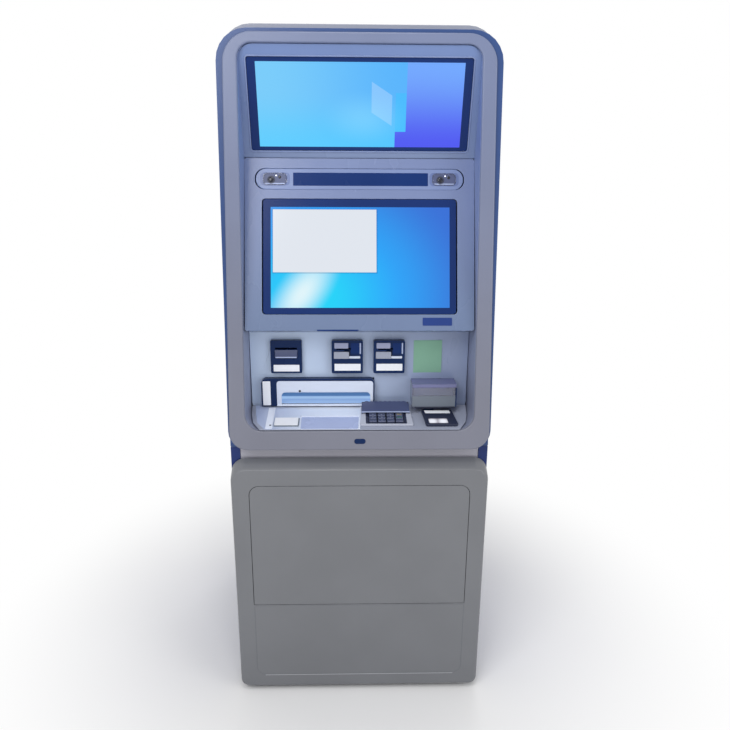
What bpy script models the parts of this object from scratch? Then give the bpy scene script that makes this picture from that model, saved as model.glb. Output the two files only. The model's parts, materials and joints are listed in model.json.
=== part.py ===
"""Free-standing cash recycling machine with two displays, built as separate pieces.

Metres, +Z up, the customer stands on the -Y side. Depths are measured back from the front
plane of the lower door, so depth 0 is y = -DEPTH / 2. The origin is on the floor, in the middle.
"""

import math

import bmesh
import bpy
from mathutils import Matrix, Vector

# Overall size
WIDTH = 0.700
DEPTH = 0.800
HEIGHT = 1.843
HALF = WIDTH / 2

# Sheet, gaps and corners
SHEET = 0.0025
SHELL = 0.003
GAP = 0.0005
CORNER_STEPS = 6
HOUSING_RADIUS = 0.075

# Lower cabinet
PLINTH_Z = (0.0417, 0.0497)
SAFE_HALF = 0.320
SAFE_DEPTH = (0.0575, 0.775)
SAFE_Z = (0.050, 0.700)
SAFE_WALL = 0.008
SAFE_LIP = 0.010
SAFE_MOUTH_HALF = 0.270
SAFE_MOUTH_Z = (0.060, 0.670)
LOWER_SHELL_Z = (0.018, 0.770)
LOWER_SHELL_LIP = 0.025
SHELL_FRONT = 0.038
BACK = 0.797

# Lower door
DOOR_Z = (0.015, 0.740)
DOOR_FRONT_TOP = 0.717
DOOR_THICKNESS = 0.0345
DOOR_CORNER = 0.035
DOOR_FOOT_CORNER = 0.022
FLAP_HALF = 0.300
FLAP_Z = (0.2985, 0.670)
FLAP_THICKNESS = 0.004
FLAP_CORNER = 0.026
FLAP_GAP = 0.0015
INSET_BOTTOM = 0.058
GROOVE = 0.0018
GROOVE_DEPTH = 0.0015
SAFE_DOOR_HALF = 0.318
SAFE_DOOR_DEPTH = (0.0365, 0.0565)
SAFE_DOOR_Z = (0.065, 0.690)
HANDLE_X, HANDLE_Z = -0.120, 0.460
DIAL_X, DIAL_Z = 0.100, 0.460
SPINDLE_RADIUS = 0.008
BOLT_RADIUS = 0.009
BOLT_DEPTH = 0.080
BOLT_HEIGHTS = (0.180, 0.375, 0.570)
POST_RADIUS = 0.007
CASSETTE_HEIGHT = 0.136

# Fascia: it leans back, and its front plane starts at this height
LEAN = 6.5
FASCIA_Z = 0.776
FASCIA_LENGTH = 1.0527
FASCIA_BACK = 0.2035
FRAME_LENGTH = 1.0427
FRAME_HALF = (0.347, 0.333)
NICHE_HALF = (0.3045, 0.298)
NICHE_V = (0.053, 1.017)
NICHE_DEPTH = 0.135
SENSOR_V = 0.0245
SENSOR_HALF = (0.015, 0.007)

# Screen panel, leaning back under the camera bar
SCREEN_DEPTH, SCREEN_Z, SCREEN_LEAN = 0.050, 1.0915, 16.6
SCREEN_HALF = 0.2965
SCREEN_LENGTH = 0.448
MAIN_HALF = 0.2515
MAIN_V = (0.043, 0.3425)
PILL_HALF = 0.2695
PILL_V = (0.3675, 0.4210)
CAMERA_X = 0.220
CAMERA_HALF = (0.031, 0.016)

# Advertising panel, leaning forward above it
AD_DEPTH, AD_Z, AD_LEAN = 0.178, 1.535, -13.0
AD_HALF = 0.2785
AD_V = (0.009, 0.231)
AD_PANEL_V = (-0.010, 0.250)

# Reader wall and what it carries
WALL_DEPTH = 0.1405
WALL_Z = (0.818, 1.080)
WALL_HALF = 0.3015
MODULE_HALF = 0.043
MODULE_Z = (0.952, 1.045)
MODULE_BACK = 0.300
PRINTER_X = -0.201
CARD_LEFT_X = -0.0336
CARD_RIGHT_X = 0.0816
ROLL_RADIUS = 0.030
ROLL_DEPTH, ROLL_Z = 0.262, 0.998
CASH_X = (-0.272, 0.042)
CASH_Z = (0.8578, 0.937)
THROAT_X = (-0.2296, 0.0384)
THROAT_Z = (0.8615, 0.931)
SHUTTER_Z = (0.8950, 0.9300)
HOOD_X = (0.1435, 0.2655)
HOOD_Z = (0.8655, 0.932)

# Deck with the keypad and the code scanner
DECK_DEPTH, DECK_Z, DECK_SLOPE = 0.015, 0.833, 10.4
DECK_THICKNESS = 0.0022
DECK_OUTLINE = ((0.266, -0.006), (0.287, 0.030), (0.296, 0.070), (0.300, 0.1215))
KEYPAD_X = 0.0715
KEYPAD_HALF = 0.0655
KEY_PITCH = (0.0240, 0.0150)
KEY_SIZE = (0.0205, 0.0118)
FIRST_ROW = 0.0240
KEY_LABELS = "1 2 3 cancel 4 5 6 correct 7 8 9 enter left 0 right blank".split()
KEY_HEIGHT = 0.0062
KEY_CHAMFER = 0.0012
KEYPAD_S = (0.012, 0.103)
SHIELD_S = 0.079
SHIELD_N = (0.0075, 0.0215)
SCANNER_X = (0.172, 0.262)
SCANNER_S = (0.006, 0.082)

# Upper housing and its rear door
HOUSING_Z = 0.7715
HOUSING_FRONT = 0.2045
REAR_DOOR_HALF = 0.3455
REAR_DOOR_Z = (0.7745, HEIGHT - 0.0045)
REAR_DOOR_THICKNESS = 0.020
FLANGE_HALF = 0.315
FLANGE_TOP = HEIGHT - 0.057
FLANGE_RADIUS = 0.040
RIM_BOX_TOP = 1.8165
REAR_HANDLE_X, REAR_HANDLE_Z = -0.310, 1.300
FAN_Z = 1.622
FAN_RADIUS = 0.056
BLADES = 7
SHELF_Z = 1.080

COLOURS = {
    "light_panel": ((0.72, 0.75, 0.80), 0.32, 0.0),
    "blue_paint": ((0.030, 0.060, 0.200), 0.35, 0.1),
    "grey_door": ((0.40, 0.42, 0.43), 0.40, 0.1),
    "white_gloss": ((0.85, 0.87, 0.90), 0.20, 0.0),
    "dark_bezel": ((0.010, 0.012, 0.025), 0.18, 0.0),
    "display_glass": ((0.015, 0.020, 0.040), 0.08, 0.0),
    "clear_plastic": ((0.62, 0.66, 0.74), 0.12, 0.0),
    "safe_steel": ((0.22, 0.23, 0.24), 0.50, 0.6),
    "zinc": ((0.60, 0.61, 0.63), 0.35, 0.9),
    "black_plastic": ((0.02, 0.02, 0.022), 0.45, 0.0),
    "module_case": ((0.30, 0.31, 0.33), 0.45, 0.2),
    "key_metal": ((0.45, 0.46, 0.50), 0.30, 0.7),
    "paper": ((0.90, 0.90, 0.88), 0.80, 0.0),
    "rubber": ((0.03, 0.03, 0.03), 0.80, 0.0),
}


def clear_scene():
    for item in list(bpy.data.objects):
        bpy.data.objects.remove(item, do_unlink=True)


def material(name):
    found = bpy.data.materials.get(name)
    if found:
        return found
    colour, roughness, metallic = COLOURS[name]
    made = bpy.data.materials.new(name)
    made.use_nodes = True
    shader = made.node_tree.nodes["Principled BSDF"]
    shader.inputs["Base Color"].default_value = (*colour, 1.0)
    shader.inputs["Roughness"].default_value = roughness
    shader.inputs["Metallic"].default_value = metallic
    return made


# ---------------------------------------------------------------- frames and outlines


def panel_frame(depth, height, lean):
    """X is world X, Y runs up the panel, Z points out of it towards the customer."""
    angle = math.radians(lean)
    s, c = math.sin(angle), math.cos(angle)
    return Matrix(((1, 0, 0, 0), (0, s, -c, depth - DEPTH / 2), (0, c, s, height), (0, 0, 0, 1)))


UPRIGHT = panel_frame(0, 0, 0)
PLAN = Matrix.Translation((0, -DEPTH / 2, 0))
FASCIA = panel_frame(0, FASCIA_Z, LEAN)
SCREEN = panel_frame(SCREEN_DEPTH, SCREEN_Z, SCREEN_LEAN)
ADVERT = panel_frame(AD_DEPTH, AD_Z, AD_LEAN)
DECK = panel_frame(DECK_DEPTH, DECK_Z, 90 - DECK_SLOPE)


def rounded(corners, radii):
    """The outline through these corners, each one rounded to its radius."""
    points = []
    count = len(corners)
    for index, radius in enumerate(radii):
        corner = Vector(corners[index])
        if radius <= 0:
            points.append(corner)
            continue
        back = (Vector(corners[index - 1]) - corner).normalized()
        ahead = (Vector(corners[(index + 1) % count]) - corner).normalized()
        half_angle = back.angle(ahead) / 2
        centre = corner + (back + ahead).normalized() * radius / math.sin(half_angle)
        start = corner + back * radius / math.tan(half_angle) - centre
        turn = math.pi - 2 * half_angle
        side = 1 if back.cross(ahead) < 0 else -1
        for step in range(CORNER_STEPS + 1):
            angle = side * turn * step / CORNER_STEPS
            s, c = math.sin(angle), math.cos(angle)
            points.append(centre + Vector((start.x * c - start.y * s, start.x * s + start.y * c)))
    return points


def rectangle(x0, x1, y0, y1, low=0.0, high=None):
    """A rectangle whose lower corners have one radius and whose upper corners another."""
    high = low if high is None else high
    return rounded(((x0, y0), (x1, y0), (x1, y1), (x0, y1)), (low, low, high, high))


def taper(low_half, high_half, y0, y1, low, high):
    """A rectangle that narrows from its foot to its head."""
    corners = ((-low_half, y0), (low_half, y0), (high_half, y1), (-high_half, y1))
    return rounded(corners, (low, low, high, high))


def circle(x, y, radius, steps=24):
    angles = [2 * math.pi * step / steps for step in range(steps)]
    return [Vector((x + radius * math.cos(a), y + radius * math.sin(a))) for a in angles]


# ---------------------------------------------------------------- solids


def body(name, loops, finish, frame=UPRIGHT, ring=False):
    """A closed solid through these (outline, depth) loops: a ring joins the last to the first."""
    mesh = bpy.data.meshes.new(name)
    build = bmesh.new()
    rows = [[build.verts.new((p.x, p.y, -depth)) for p in outline] for outline, depth in loops]
    pairs = list(zip(rows, rows[1:]))
    if ring:
        pairs.append((rows[-1], rows[0]))
    for first, second in pairs:
        for i in range(len(first)):
            j = (i + 1) % len(first)
            build.faces.new((first[i], first[j], second[j], second[i]))
    if not ring:
        build.faces.new(rows[0])
        build.faces.new(rows[-1])
    bmesh.ops.recalc_face_normals(build, faces=build.faces)
    build.to_mesh(mesh)
    build.free()
    mesh.materials.append(material(finish))
    item = bpy.data.objects.new(name, mesh)
    bpy.context.scene.collection.objects.link(item)
    item.matrix_world = frame
    return item


def plate(name, outline, front, back, finish, frame=UPRIGHT):
    return body(name, [(outline, front), (outline, back)], finish, frame)


def block(name, x, depth, z, finish, frame=UPRIGHT, radius=0.0):
    return plate(name, rectangle(*x, *z, radius), *depth, finish, frame)


def ring_plate(name, outer, inner, front, back, finish, frame=UPRIGHT):
    loops = [(outer, front), (inner, front), (inner, back), (outer, back)]
    return body(name, loops, finish, frame, ring=True)


def across(x, depth, z):
    """A frame whose Z axis runs along world -X, from this point."""
    return Matrix.Translation((x, depth - DEPTH / 2, z)) @ Matrix.Rotation(-math.pi / 2, 4, "Y")


def turned(name, profile, finish, frame, steps=24):
    """A solid of revolution about the frame's Z axis, from (radius, depth) pairs."""
    return body(name, [(circle(0, 0, radius, steps), depth) for radius, depth in profile], finish, frame)


def combine(item, other, operation):
    """Joins the other solid to this one, or cuts it away."""
    modifier = item.modifiers.new(operation.lower(), "BOOLEAN")
    modifier.operation = operation
    modifier.solver = "EXACT"
    modifier.object = other
    bpy.context.view_layer.update()
    result = bpy.data.meshes.new_from_object(item.evaluated_get(bpy.context.evaluated_depsgraph_get()))
    item.modifiers.clear()
    item.data = result
    bpy.data.objects.remove(other, do_unlink=True)


def cut(item, *cutters):
    for cutter in cutters:
        combine(item, cutter, "DIFFERENCE")
    return item


def fuse(item, *others):
    for other in others:
        combine(item, other, "UNION")
    return item


def soften(item, width, segments=2):
    """Rounds the sharp edges of a small piece."""
    modifier = item.modifiers.new("edges", "BEVEL")
    modifier.width = width
    modifier.segments = segments
    modifier.limit_method = "ANGLE"
    modifier.angle_limit = math.radians(50)
    return item


def pivot(name, x, depth, z, items):
    """An empty on a joint's axis, which carries the pieces that turn or slide there."""
    empty = bpy.data.objects.new(name, None)
    bpy.context.scene.collection.objects.link(empty)
    empty.location = (x, depth - DEPTH / 2, z)
    bpy.context.view_layer.update()
    for item in items:
        item.parent = empty
        item.matrix_parent_inverse = empty.matrix_world.inverted()
    return empty


# ---------------------------------------------------------------- lower cabinet


def levelling_feet():
    profile = ((0.024, 0.0), (0.024, -0.007), (0.008, -0.010), (0.008, -PLINTH_Z[0] + GAP))
    for side, x in (("left", -0.28), ("right", 0.28)):
        for end, depth in (("front", 0.095), ("rear", 0.725)):
            spot = Matrix.Translation((x, depth - DEPTH / 2, 0))
            turned(f"foot_{end}_{side}", profile, "rubber", spot)


def plinth():
    block("plinth", (-0.325, 0.325), (0.045, 0.775), PLINTH_Z, "safe_steel")


def safe_box():
    box = block("safe_box", (-SAFE_HALF, SAFE_HALF), SAFE_DEPTH, SAFE_Z, "safe_steel")
    inner = SAFE_HALF - SAFE_WALL
    inside = (SAFE_DEPTH[0] + SAFE_LIP, SAFE_DEPTH[1] - SAFE_WALL)
    height = (SAFE_Z[0] + SAFE_WALL, SAFE_Z[1] - SAFE_WALL)
    mouth = (-SAFE_MOUTH_HALF, SAFE_MOUTH_HALF)
    cut(box, block("cavity", (-inner, inner), inside, height, "safe_steel"))
    cut(box, block("mouth", mouth, (SAFE_DEPTH[0] - 0.01, inside[0] + 0.01), SAFE_MOUTH_Z, "safe_steel"))


def cassettes():
    """Note cassettes stacked in the safe, each with a bow handle on its front."""
    lowest = SAFE_Z[0] + SAFE_WALL + 0.0025
    for index in range(3):
        z = lowest + index * (CASSETTE_HEIGHT + 0.0015)
        span = (z, z + CASSETTE_HEIGHT)
        case = block(f"cassette_{index + 1}", (-0.16, 0.16), (0.125, 0.56), span, "module_case")
        bow = block("bow", (-0.06, 0.06), (0.100, 0.126), (z + 0.055, z + 0.075), "module_case")
        grip = block("grip", (-0.05, 0.05), (0.110, 0.1245), (z + 0.05, z + 0.08), "module_case")
        fuse(case, cut(bow, grip))


def lower_shell():
    """Folded sheet round the sides and back, with lips turned in beside the door."""
    lip = HALF - LOWER_SHELL_LIP
    front, back = SHELL_FRONT, BACK
    inner = HALF - SHEET
    corners = [(-lip, front), (-HALF, front), (-HALF, back), (HALF, back), (HALF, front), (lip, front)]
    corners += [(lip, front + SHEET), (inner, front + SHEET), (inner, back - SHEET)]
    corners += [(-inner, back - SHEET), (-inner, front + SHEET), (-lip, front + SHEET)]
    outer, fold = 0.012, 0.012 - SHEET
    radii = (0, 0, outer, outer, 0, 0, 0, 0, fold, fold, 0, 0)
    low, high = LOWER_SHELL_Z
    plate("lower_shell", rounded(corners, radii), -low, -high, "blue_paint", PLAN)


def neck_panel():
    """Grey angle between the safe's top and the fascia."""
    half = HALF - LOWER_SHELL_LIP - GAP
    low = SAFE_Z[1] + GAP
    angle = block("neck_panel", (-half, half), (0.040, 0.043), (low, LOWER_SHELL_Z[1]), "grey_door")
    fuse(angle, block("foot", (-0.3, 0.3), (0.0425, 0.10), (low, low + SHEET), "grey_door"))


# ---------------------------------------------------------------- lower door


def door_sections(inset, back):
    """Outlines of the door cover, from its flat front back to its open edge."""
    sections = []
    for depth, side, top, corner in (
        (0.0, 0.007, DOOR_FRONT_TOP, DOOR_CORNER),
        (0.003, 0.0025, DOOR_FRONT_TOP + 0.0025, DOOR_CORNER + 0.003),
        (0.010, 0.0, DOOR_FRONT_TOP + 0.007, DOOR_CORNER + 0.005),
        (DOOR_THICKNESS, 0.0, DOOR_Z[1], DOOR_CORNER + 0.005),
    ):
        half = HALF - side - inset
        low = DOOR_Z[0] + side + inset
        outline = rectangle(-half, half, low, top - inset, DOOR_FOOT_CORNER - inset, corner - inset)
        sections.append((outline, min(depth + inset, back)))
    return sections


def door_cover():
    cover = body("door_cover", door_sections(0, DOOR_THICKNESS), "grey_door")
    hollow = body("hollow", door_sections(SHELL, DOOR_THICKNESS + 0.01)[:3] + [
        (door_sections(SHELL, 1)[3][0], DOOR_THICKNESS + 0.01)
    ], "grey_door")
    side = FLAP_HALF + FLAP_GAP
    low, high = FLAP_Z[0] - FLAP_GAP, FLAP_Z[1] + FLAP_GAP
    window = rectangle(-side, side, low, high, 0, FLAP_CORNER + FLAP_GAP)
    cut(cover, hollow, plate("window", window, -0.01, 0.02, "grey_door"))
    over = FLAP_Z[0] + 0.003
    outer = rectangle(-side, side, INSET_BOTTOM, over, FLAP_CORNER, 0.0001)
    side -= GROOVE
    inner = rectangle(-side, side, INSET_BOTTOM + GROOVE, over + 0.003, FLAP_CORNER - GROOVE, 0.0001)
    groove = ring_plate("groove", outer, inner, -0.01, GROOVE_DEPTH, "grey_door")
    return cut(cover, groove)


def lock_flap():
    outline = rectangle(-FLAP_HALF, FLAP_HALF, *FLAP_Z, 0, FLAP_CORNER)
    return plate("lock_flap", outline, 0, FLAP_THICKNESS, "grey_door")


def safe_door():
    """Armoured slab on posts behind the cover, with holes for the handle and dial spindles."""
    width = (-SAFE_DOOR_HALF, SAFE_DOOR_HALF)
    slab = block("safe_door", width, SAFE_DOOR_DEPTH, SAFE_DOOR_Z, "safe_steel")
    end = SAFE_DOOR_DEPTH[0] + 0.001
    for x in (-0.310, 0.310):
        for z in (0.110, 0.630):
            fuse(slab, plate("post", circle(x, z, POST_RADIUS, 12), SHELL + GAP, end, "safe_steel"))
    for x, z in ((HANDLE_X, HANDLE_Z), (DIAL_X, DIAL_Z)):
        cut(slab, plate("bore", circle(x, z, SPINDLE_RADIUS + GAP), 0.02, 0.07, "safe_steel"))
    return slab


def bolt_bar():
    """Upright bar with three round bolts, which slides them behind the safe's jamb."""
    bar = block("bolt_bar", (-0.248, -0.236), (0.0580, 0.0945), (0.14, 0.61), "zinc")
    profile = ((BOLT_RADIUS - 0.002, 0), (BOLT_RADIUS, 0.002), (BOLT_RADIUS, 0.02))
    for z in BOLT_HEIGHTS:
        fuse(bar, turned("bolt", profile, "zinc", across(-0.262, BOLT_DEPTH, z), 16))
    return bar


def safe_handle():
    spot = panel_frame(0, HANDLE_Z, 0) @ Matrix.Translation((HANDLE_X, 0, 0))
    hub = turned("safe_handle", ((0.018, 0.014), (0.022, 0.018), (0.022, 0.0358)), "zinc", spot)
    fuse(hub, block("lever", (-0.008, 0.008), (0.0125, 0.0255), (-0.115, 0.006), "zinc", spot, 0.005))
    return fuse(hub, plate("spindle", circle(0, 0, SPINDLE_RADIUS), 0.03, 0.064, "zinc", spot))


def lock_dial():
    spot = panel_frame(0, DIAL_Z, 0) @ Matrix.Translation((DIAL_X, 0, 0))
    knob = ((0.014, 0.010), (0.016, 0.012), (0.017, 0.022))
    skirt = ((0.033, 0.026), (0.035, 0.034), (0.035, 0.0358))
    dial = turned("lock_dial", knob + skirt, "black_plastic", spot, 32)
    return fuse(dial, plate("spindle", circle(0, 0, SPINDLE_RADIUS), 0.03, 0.064, "black_plastic", spot))


# ---------------------------------------------------------------- upper housing


def arch(half, low, high, radius):
    return [(-half, low), (-half, high), (half, high), (half, low)], [0, radius, radius, 0]


def upper_housing():
    """Folded sheet over the top and sides, with a front flange, a shelf and a latch keeper."""
    inner_corners, inner_radii = arch(HALF - SHEET, HOUSING_Z, HEIGHT - SHEET, HOUSING_RADIUS - SHEET)
    outer_corners, outer_radii = arch(HALF, HOUSING_Z, HEIGHT, HOUSING_RADIUS)
    outline = rounded(inner_corners + outer_corners[::-1], inner_radii + outer_radii[::-1])
    shell = plate("upper_housing", outline, HOUSING_FRONT, BACK, "light_panel")
    flange_corners, flange_radii = arch(FLANGE_HALF, HOUSING_Z, FLANGE_TOP, FLANGE_RADIUS)
    flange = rounded(flange_corners + outer_corners[::-1], flange_radii + outer_radii[::-1])
    fuse(shell, plate("flange", flange, HOUSING_FRONT, HOUSING_FRONT + SHEET, "light_panel"))
    width = (-HALF + SHEET / 2, HALF - SHEET / 2)
    fuse(shell, block("shelf", width, (0.36, 0.755), (SHELF_Z, SHELF_Z + SHELL), "light_panel"))
    keeper = (REAR_HANDLE_Z - 0.03, REAR_HANDLE_Z + 0.03)
    fuse(shell, block("keeper", (-HALF + SHEET / 2, -0.325), (0.7715, 0.7765), keeper, "light_panel"))


def cash_recycler():
    """Note transport on the safe's top, with a nose that meets the cash throat."""
    case = block("cash_recycler", (-0.25, 0.25), (0.34, 0.75), (SAFE_Z[1] + GAP, 1.00), "module_case")
    nose = block("nose", (-0.215, 0.025), (0.250, 0.345), (0.866, 0.926), "module_case")
    fuse(case, nose)


def industrial_pc():
    z = SHELF_Z + SHELL + GAP
    soften(block("industrial_pc", (-0.17, 0.17), (0.40, 0.72), (z, z + 0.12), "black_plastic"), 0.003, 1)


def rear_door():
    """Sheet door with turned-in edges, cooling slots and the ring that holds the fan."""
    outer = rectangle(-REAR_DOOR_HALF, REAR_DOOR_HALF, *REAR_DOOR_Z, 0.003, HOUSING_RADIUS - 0.0045)
    low, high = REAR_DOOR_Z
    edge = REAR_DOOR_HALF - SHELL
    inner = rectangle(-edge, edge, low + SHELL, high - SHELL, 0.001, HOUSING_RADIUS - 0.0045 - SHELL)
    front = BACK - REAR_DOOR_THICKNESS
    loops = [(outer, BACK), (outer, front), (inner, front), (inner, BACK - SHELL)]
    door = body("rear_door", loops, "light_panel")
    half = FAN_RADIUS + 0.006
    height = (FAN_Z - half, FAN_Z + half)
    ring = block("ring", (-half, half), (0.765, BACK - SHELL / 2), height, "light_panel")
    fuse(door, cut(ring, plate("bore", circle(0, FAN_Z, FAN_RADIUS, 32), 0.7, 0.9, "light_panel")))
    fuse(door, plate("boss", circle(0, FAN_Z, 0.020, 16), 0.7872, BACK - SHELL / 2, "light_panel"))
    for row in (-0.042, -0.032, 0.032, 0.042):
        z = FAN_Z + row
        cut(door, block("slot", (-0.030, 0.030), (0.79, 0.81), (z - 0.0025, z + 0.0025), "light_panel"))
    for row in range(6):
        z = 0.86 + 0.016 * row
        cut(door, block("slot", (-0.12, 0.12), (0.79, 0.81), (z - 0.003, z + 0.003), "light_panel"))
    return cut(door, plate("bore", circle(REAR_HANDLE_X, REAR_HANDLE_Z, 0.0065), 0.7, 0.9, "light_panel"))


def rear_handle():
    """Quarter-turn latch: a low knob outside, and a tongue that goes in front of the keeper."""
    spot = panel_frame(0, REAR_HANDLE_Z, 0) @ Matrix.Translation((REAR_HANDLE_X, 0, 0))
    profile = ((0.006, 0.765), (0.006, 0.798), (0.018, 0.798), (0.018, 0.7992), (0.0165, DEPTH))
    latch = turned("rear_handle", profile, "zinc", spot)
    return fuse(latch, block("tongue", (-0.008, 0.008), (0.765, 0.7695), (-0.032, 0.008), "zinc", spot))


def fan_rotor():
    spot = panel_frame(0, FAN_Z, 0)
    rotor = turned("fan_rotor", ((0.019, 0.768), (0.021, 0.770), (0.021, 0.7862)), "black_plastic", spot)
    for index in range(BLADES):
        turn = spot @ Matrix.Rotation(2 * math.pi * index / BLADES, 4, "Z")
        tilt = turn @ Matrix.Translation((0.036, 0, -0.777)) @ Matrix.Rotation(math.radians(32), 4, "X")
        blade = block("blade", (-0.017, 0.016), (-0.0008, 0.0008), (-0.0125, 0.0125), "black_plastic", tilt)
        fuse(rotor, blade)
    return rotor


# ---------------------------------------------------------------- fascia


def fascia_outline(inset, foot_radius):
    half = HALF - inset
    head = max(HOUSING_RADIUS - inset, 0.001)
    foot = max(foot_radius - inset, 0.001)
    return rectangle(-half, half, inset, FASCIA_LENGTH - inset, foot, head)


def fascia_rim():
    """Blue surround: a leaning front ring with round corners on an upright box with a square foot."""
    front, flange, web, back = 0.010, 0.014, 0.037, 0.040
    outer, wall, lip = (fascia_outline(inset, 0.05) for inset in (0, SHELL, 0.022))
    square = fascia_outline(0, 0.003)
    loops = [(outer, front), (lip, front), (lip, flange), (wall, flange), (wall, web), (lip, web)]
    loops += [(lip, back), (square, back), (square, web), (outer, web - GAP)]
    rim = body("fascia_rim", loops, "blue_paint", FASCIA, ring=True)
    low, high, side = FASCIA_Z - SHELL, RIM_BOX_TOP, HALF - 0.0006
    outside = rectangle(-side, side, low, high, 0.003, HOUSING_RADIUS)
    side -= SHELL
    inside = rectangle(-side, side, low + SHELL, high - SHELL, 0.001, HOUSING_RADIUS - SHELL)
    box = ring_plate("box", outside, inside, 0.01, FASCIA_BACK, "blue_paint")
    lean_cut = block("lean_cut", (-0.5, 0.5), (-0.2, (web + back) / 2), (-0.2, 1.3), "blue_paint", FASCIA)
    return fuse(rim, cut(box, lean_cut))


def front_frame():
    """Light frame round the customer's niche, with the niche's walls behind it."""
    thickness = 0.0095
    outer = taper(*FRAME_HALF, 0.0005, FRAME_LENGTH, 0.048, 0.070)
    low, high = NICHE_V
    opening = taper(*NICHE_HALF, low, high, 0.045, 0.035)
    wall = [half + SHELL for half in NICHE_HALF]
    outside = taper(*wall, low - SHELL, high + SHELL, 0.045 + SHELL, 0.035 + SHELL)
    loops = [(outer, 0), (opening, 0), (opening, NICHE_DEPTH)]
    loops += [(outside, NICHE_DEPTH), (outside, thickness), (outer, thickness)]
    frame = body("front_frame", loops, "light_panel", FASCIA, ring=True)
    half_width, half_height = (half + GAP for half in SENSOR_HALF)
    low, high = SENSOR_V - half_height, SENSOR_V + half_height
    hole = rectangle(-half_width, half_width, low, high, half_height - GAP)
    return cut(frame, plate("hole", hole, -0.01, 0.02, "light_panel", FASCIA))


def proximity_sensor():
    half_width, half_height = SENSOR_HALF
    low, high = SENSOR_V - half_height, SENSOR_V + half_height
    outline = rectangle(-half_width, half_width, low, high, half_height - GAP)
    return soften(plate("proximity_sensor", outline, -0.0015, 0.009, "dark_bezel", FASCIA), 0.001, 1)


def ad_panel():
    outer = rectangle(-SCREEN_HALF, SCREEN_HALF, *AD_PANEL_V, 0.004, 0.036)
    low, high = AD_V
    inner = rectangle(-AD_HALF - 0.001, AD_HALF + 0.001, low - 0.001, high + 0.001, 0.006)
    return ring_plate("ad_panel", outer, inner, 0, 0.004, "light_panel", ADVERT)


def ad_display():
    outline = rectangle(-AD_HALF, AD_HALF, *AD_V, 0.006)
    return plate("ad_display", outline, 0.001, 0.030, "display_glass", ADVERT)


def screen_panel():
    """Leaning panel with the display and camera openings, folded back at its foot."""
    outer = rectangle(-SCREEN_HALF, SCREEN_HALF, 0, SCREEN_LENGTH, 0.006)
    panel = plate("screen_panel", outer, 0, 0.004, "light_panel", SCREEN)
    low, high = MAIN_V
    display = rectangle(-MAIN_HALF - 0.001, MAIN_HALF + 0.001, low - 0.001, high + 0.001, 0.010)
    cut(panel, plate("display", display, -0.01, 0.02, "light_panel", SCREEN))
    low, high = PILL_V
    side = PILL_HALF + 0.001
    pill = rectangle(-side, side, low - 0.001, high + 0.001, (high - low) / 2 - 0.001)
    cut(panel, plate("pill", pill, -0.01, 0.02, "light_panel", SCREEN))
    side = SCREEN_HALF - 0.004
    return fuse(panel, block("fold", (-side, side), (0.001, 0.0925), (0.0005, 0.004), "light_panel", SCREEN))


def main_display():
    outline = rectangle(-MAIN_HALF, MAIN_HALF, *MAIN_V, 0.009)
    return plate("main_display", outline, 0.0008, 0.030, "display_glass", SCREEN)


def camera_bar():
    low, high = PILL_V
    outline = rectangle(-PILL_HALF, PILL_HALF, low, high, (high - low) / 2 - 0.001)
    return plate("camera_bar", outline, 0.002, 0.012, "clear_plastic", SCREEN)


def cameras():
    middle = sum(PILL_V) / 2
    wide, tall = CAMERA_HALF
    made = []
    for name, x in (("camera_left", -CAMERA_X), ("camera_right", CAMERA_X)):
        outline = rectangle(x - wide, x + wide, middle - tall, middle + tall, 0.012)
        made.append(soften(plate(name, outline, -0.003, 0.0015, "display_glass", SCREEN), 0.0015, 1))
    return made


def reader_wall():
    outline = rectangle(-WALL_HALF, WALL_HALF, *WALL_Z, 0.046, 0)
    wall = plate("reader_wall", outline, WALL_DEPTH, WALL_DEPTH + SHELL, "light_panel")
    through = (WALL_DEPTH - 0.01, WALL_DEPTH + 0.01)
    half = MODULE_HALF - 0.006
    z = (MODULE_Z[0] + 0.005, MODULE_Z[1] - 0.005)
    for x in (PRINTER_X, CARD_LEFT_X, CARD_RIGHT_X):
        cut(wall, block("opening", (x - half, x + half), through, z, "light_panel"))
    x = (THROAT_X[0] - 0.0035, THROAT_X[1] + 0.0033)
    z = (THROAT_Z[0] - 0.0035, THROAT_Z[1] + 0.0035)
    return cut(wall, block("opening", x, through, z, "light_panel"))


def module(name, x, front, back):
    """Bezel on the wall's face with a slot, and the mechanism behind it."""
    width = (x - MODULE_HALF, x + MODULE_HALF)
    bezel = block(name, width, (front, WALL_DEPTH - GAP), MODULE_Z, "black_plastic", radius=0.004)
    half = MODULE_HALF - 0.007
    z = (MODULE_Z[0] + 0.006, MODULE_Z[1] - 0.006)
    fuse(bezel, block("case", (x - half, x + half), (WALL_DEPTH - 0.001, back), z, "black_plastic"))
    slot = (x - 0.030, x + 0.030)
    return cut(bezel, block("slot", slot, (front - 0.01, front + 0.030), (1.019, 1.025), "black_plastic"))


def card_readers():
    made = []
    for name, x in (("card_reader_left", CARD_LEFT_X), ("card_reader_right", CARD_RIGHT_X)):
        reader = module(name, x, 0.124, MODULE_BACK)
        notch = rectangle(x - 0.008, x + 0.008, 0.996, 1.019 + 0.003, 0.006, 0.0001)
        made.append(cut(reader, plate("notch", notch, 0.11, 0.134, "black_plastic")))
    return made


def receipt_printer():
    """Printer with two cheeks at its back, which hold the paper roll between them."""
    printer = module("receipt_printer", PRINTER_X, 0.127, 0.225)
    half = MODULE_HALF - 0.007
    z = (MODULE_Z[0] + 0.006, MODULE_Z[1] - 0.006)
    for side in (-1, 1):
        x = sorted((PRINTER_X + side * half, PRINTER_X + side * (half - 0.004)))
        fuse(printer, block("cheek", x, (0.224, MODULE_BACK), z, "black_plastic"))
    return printer


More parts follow.
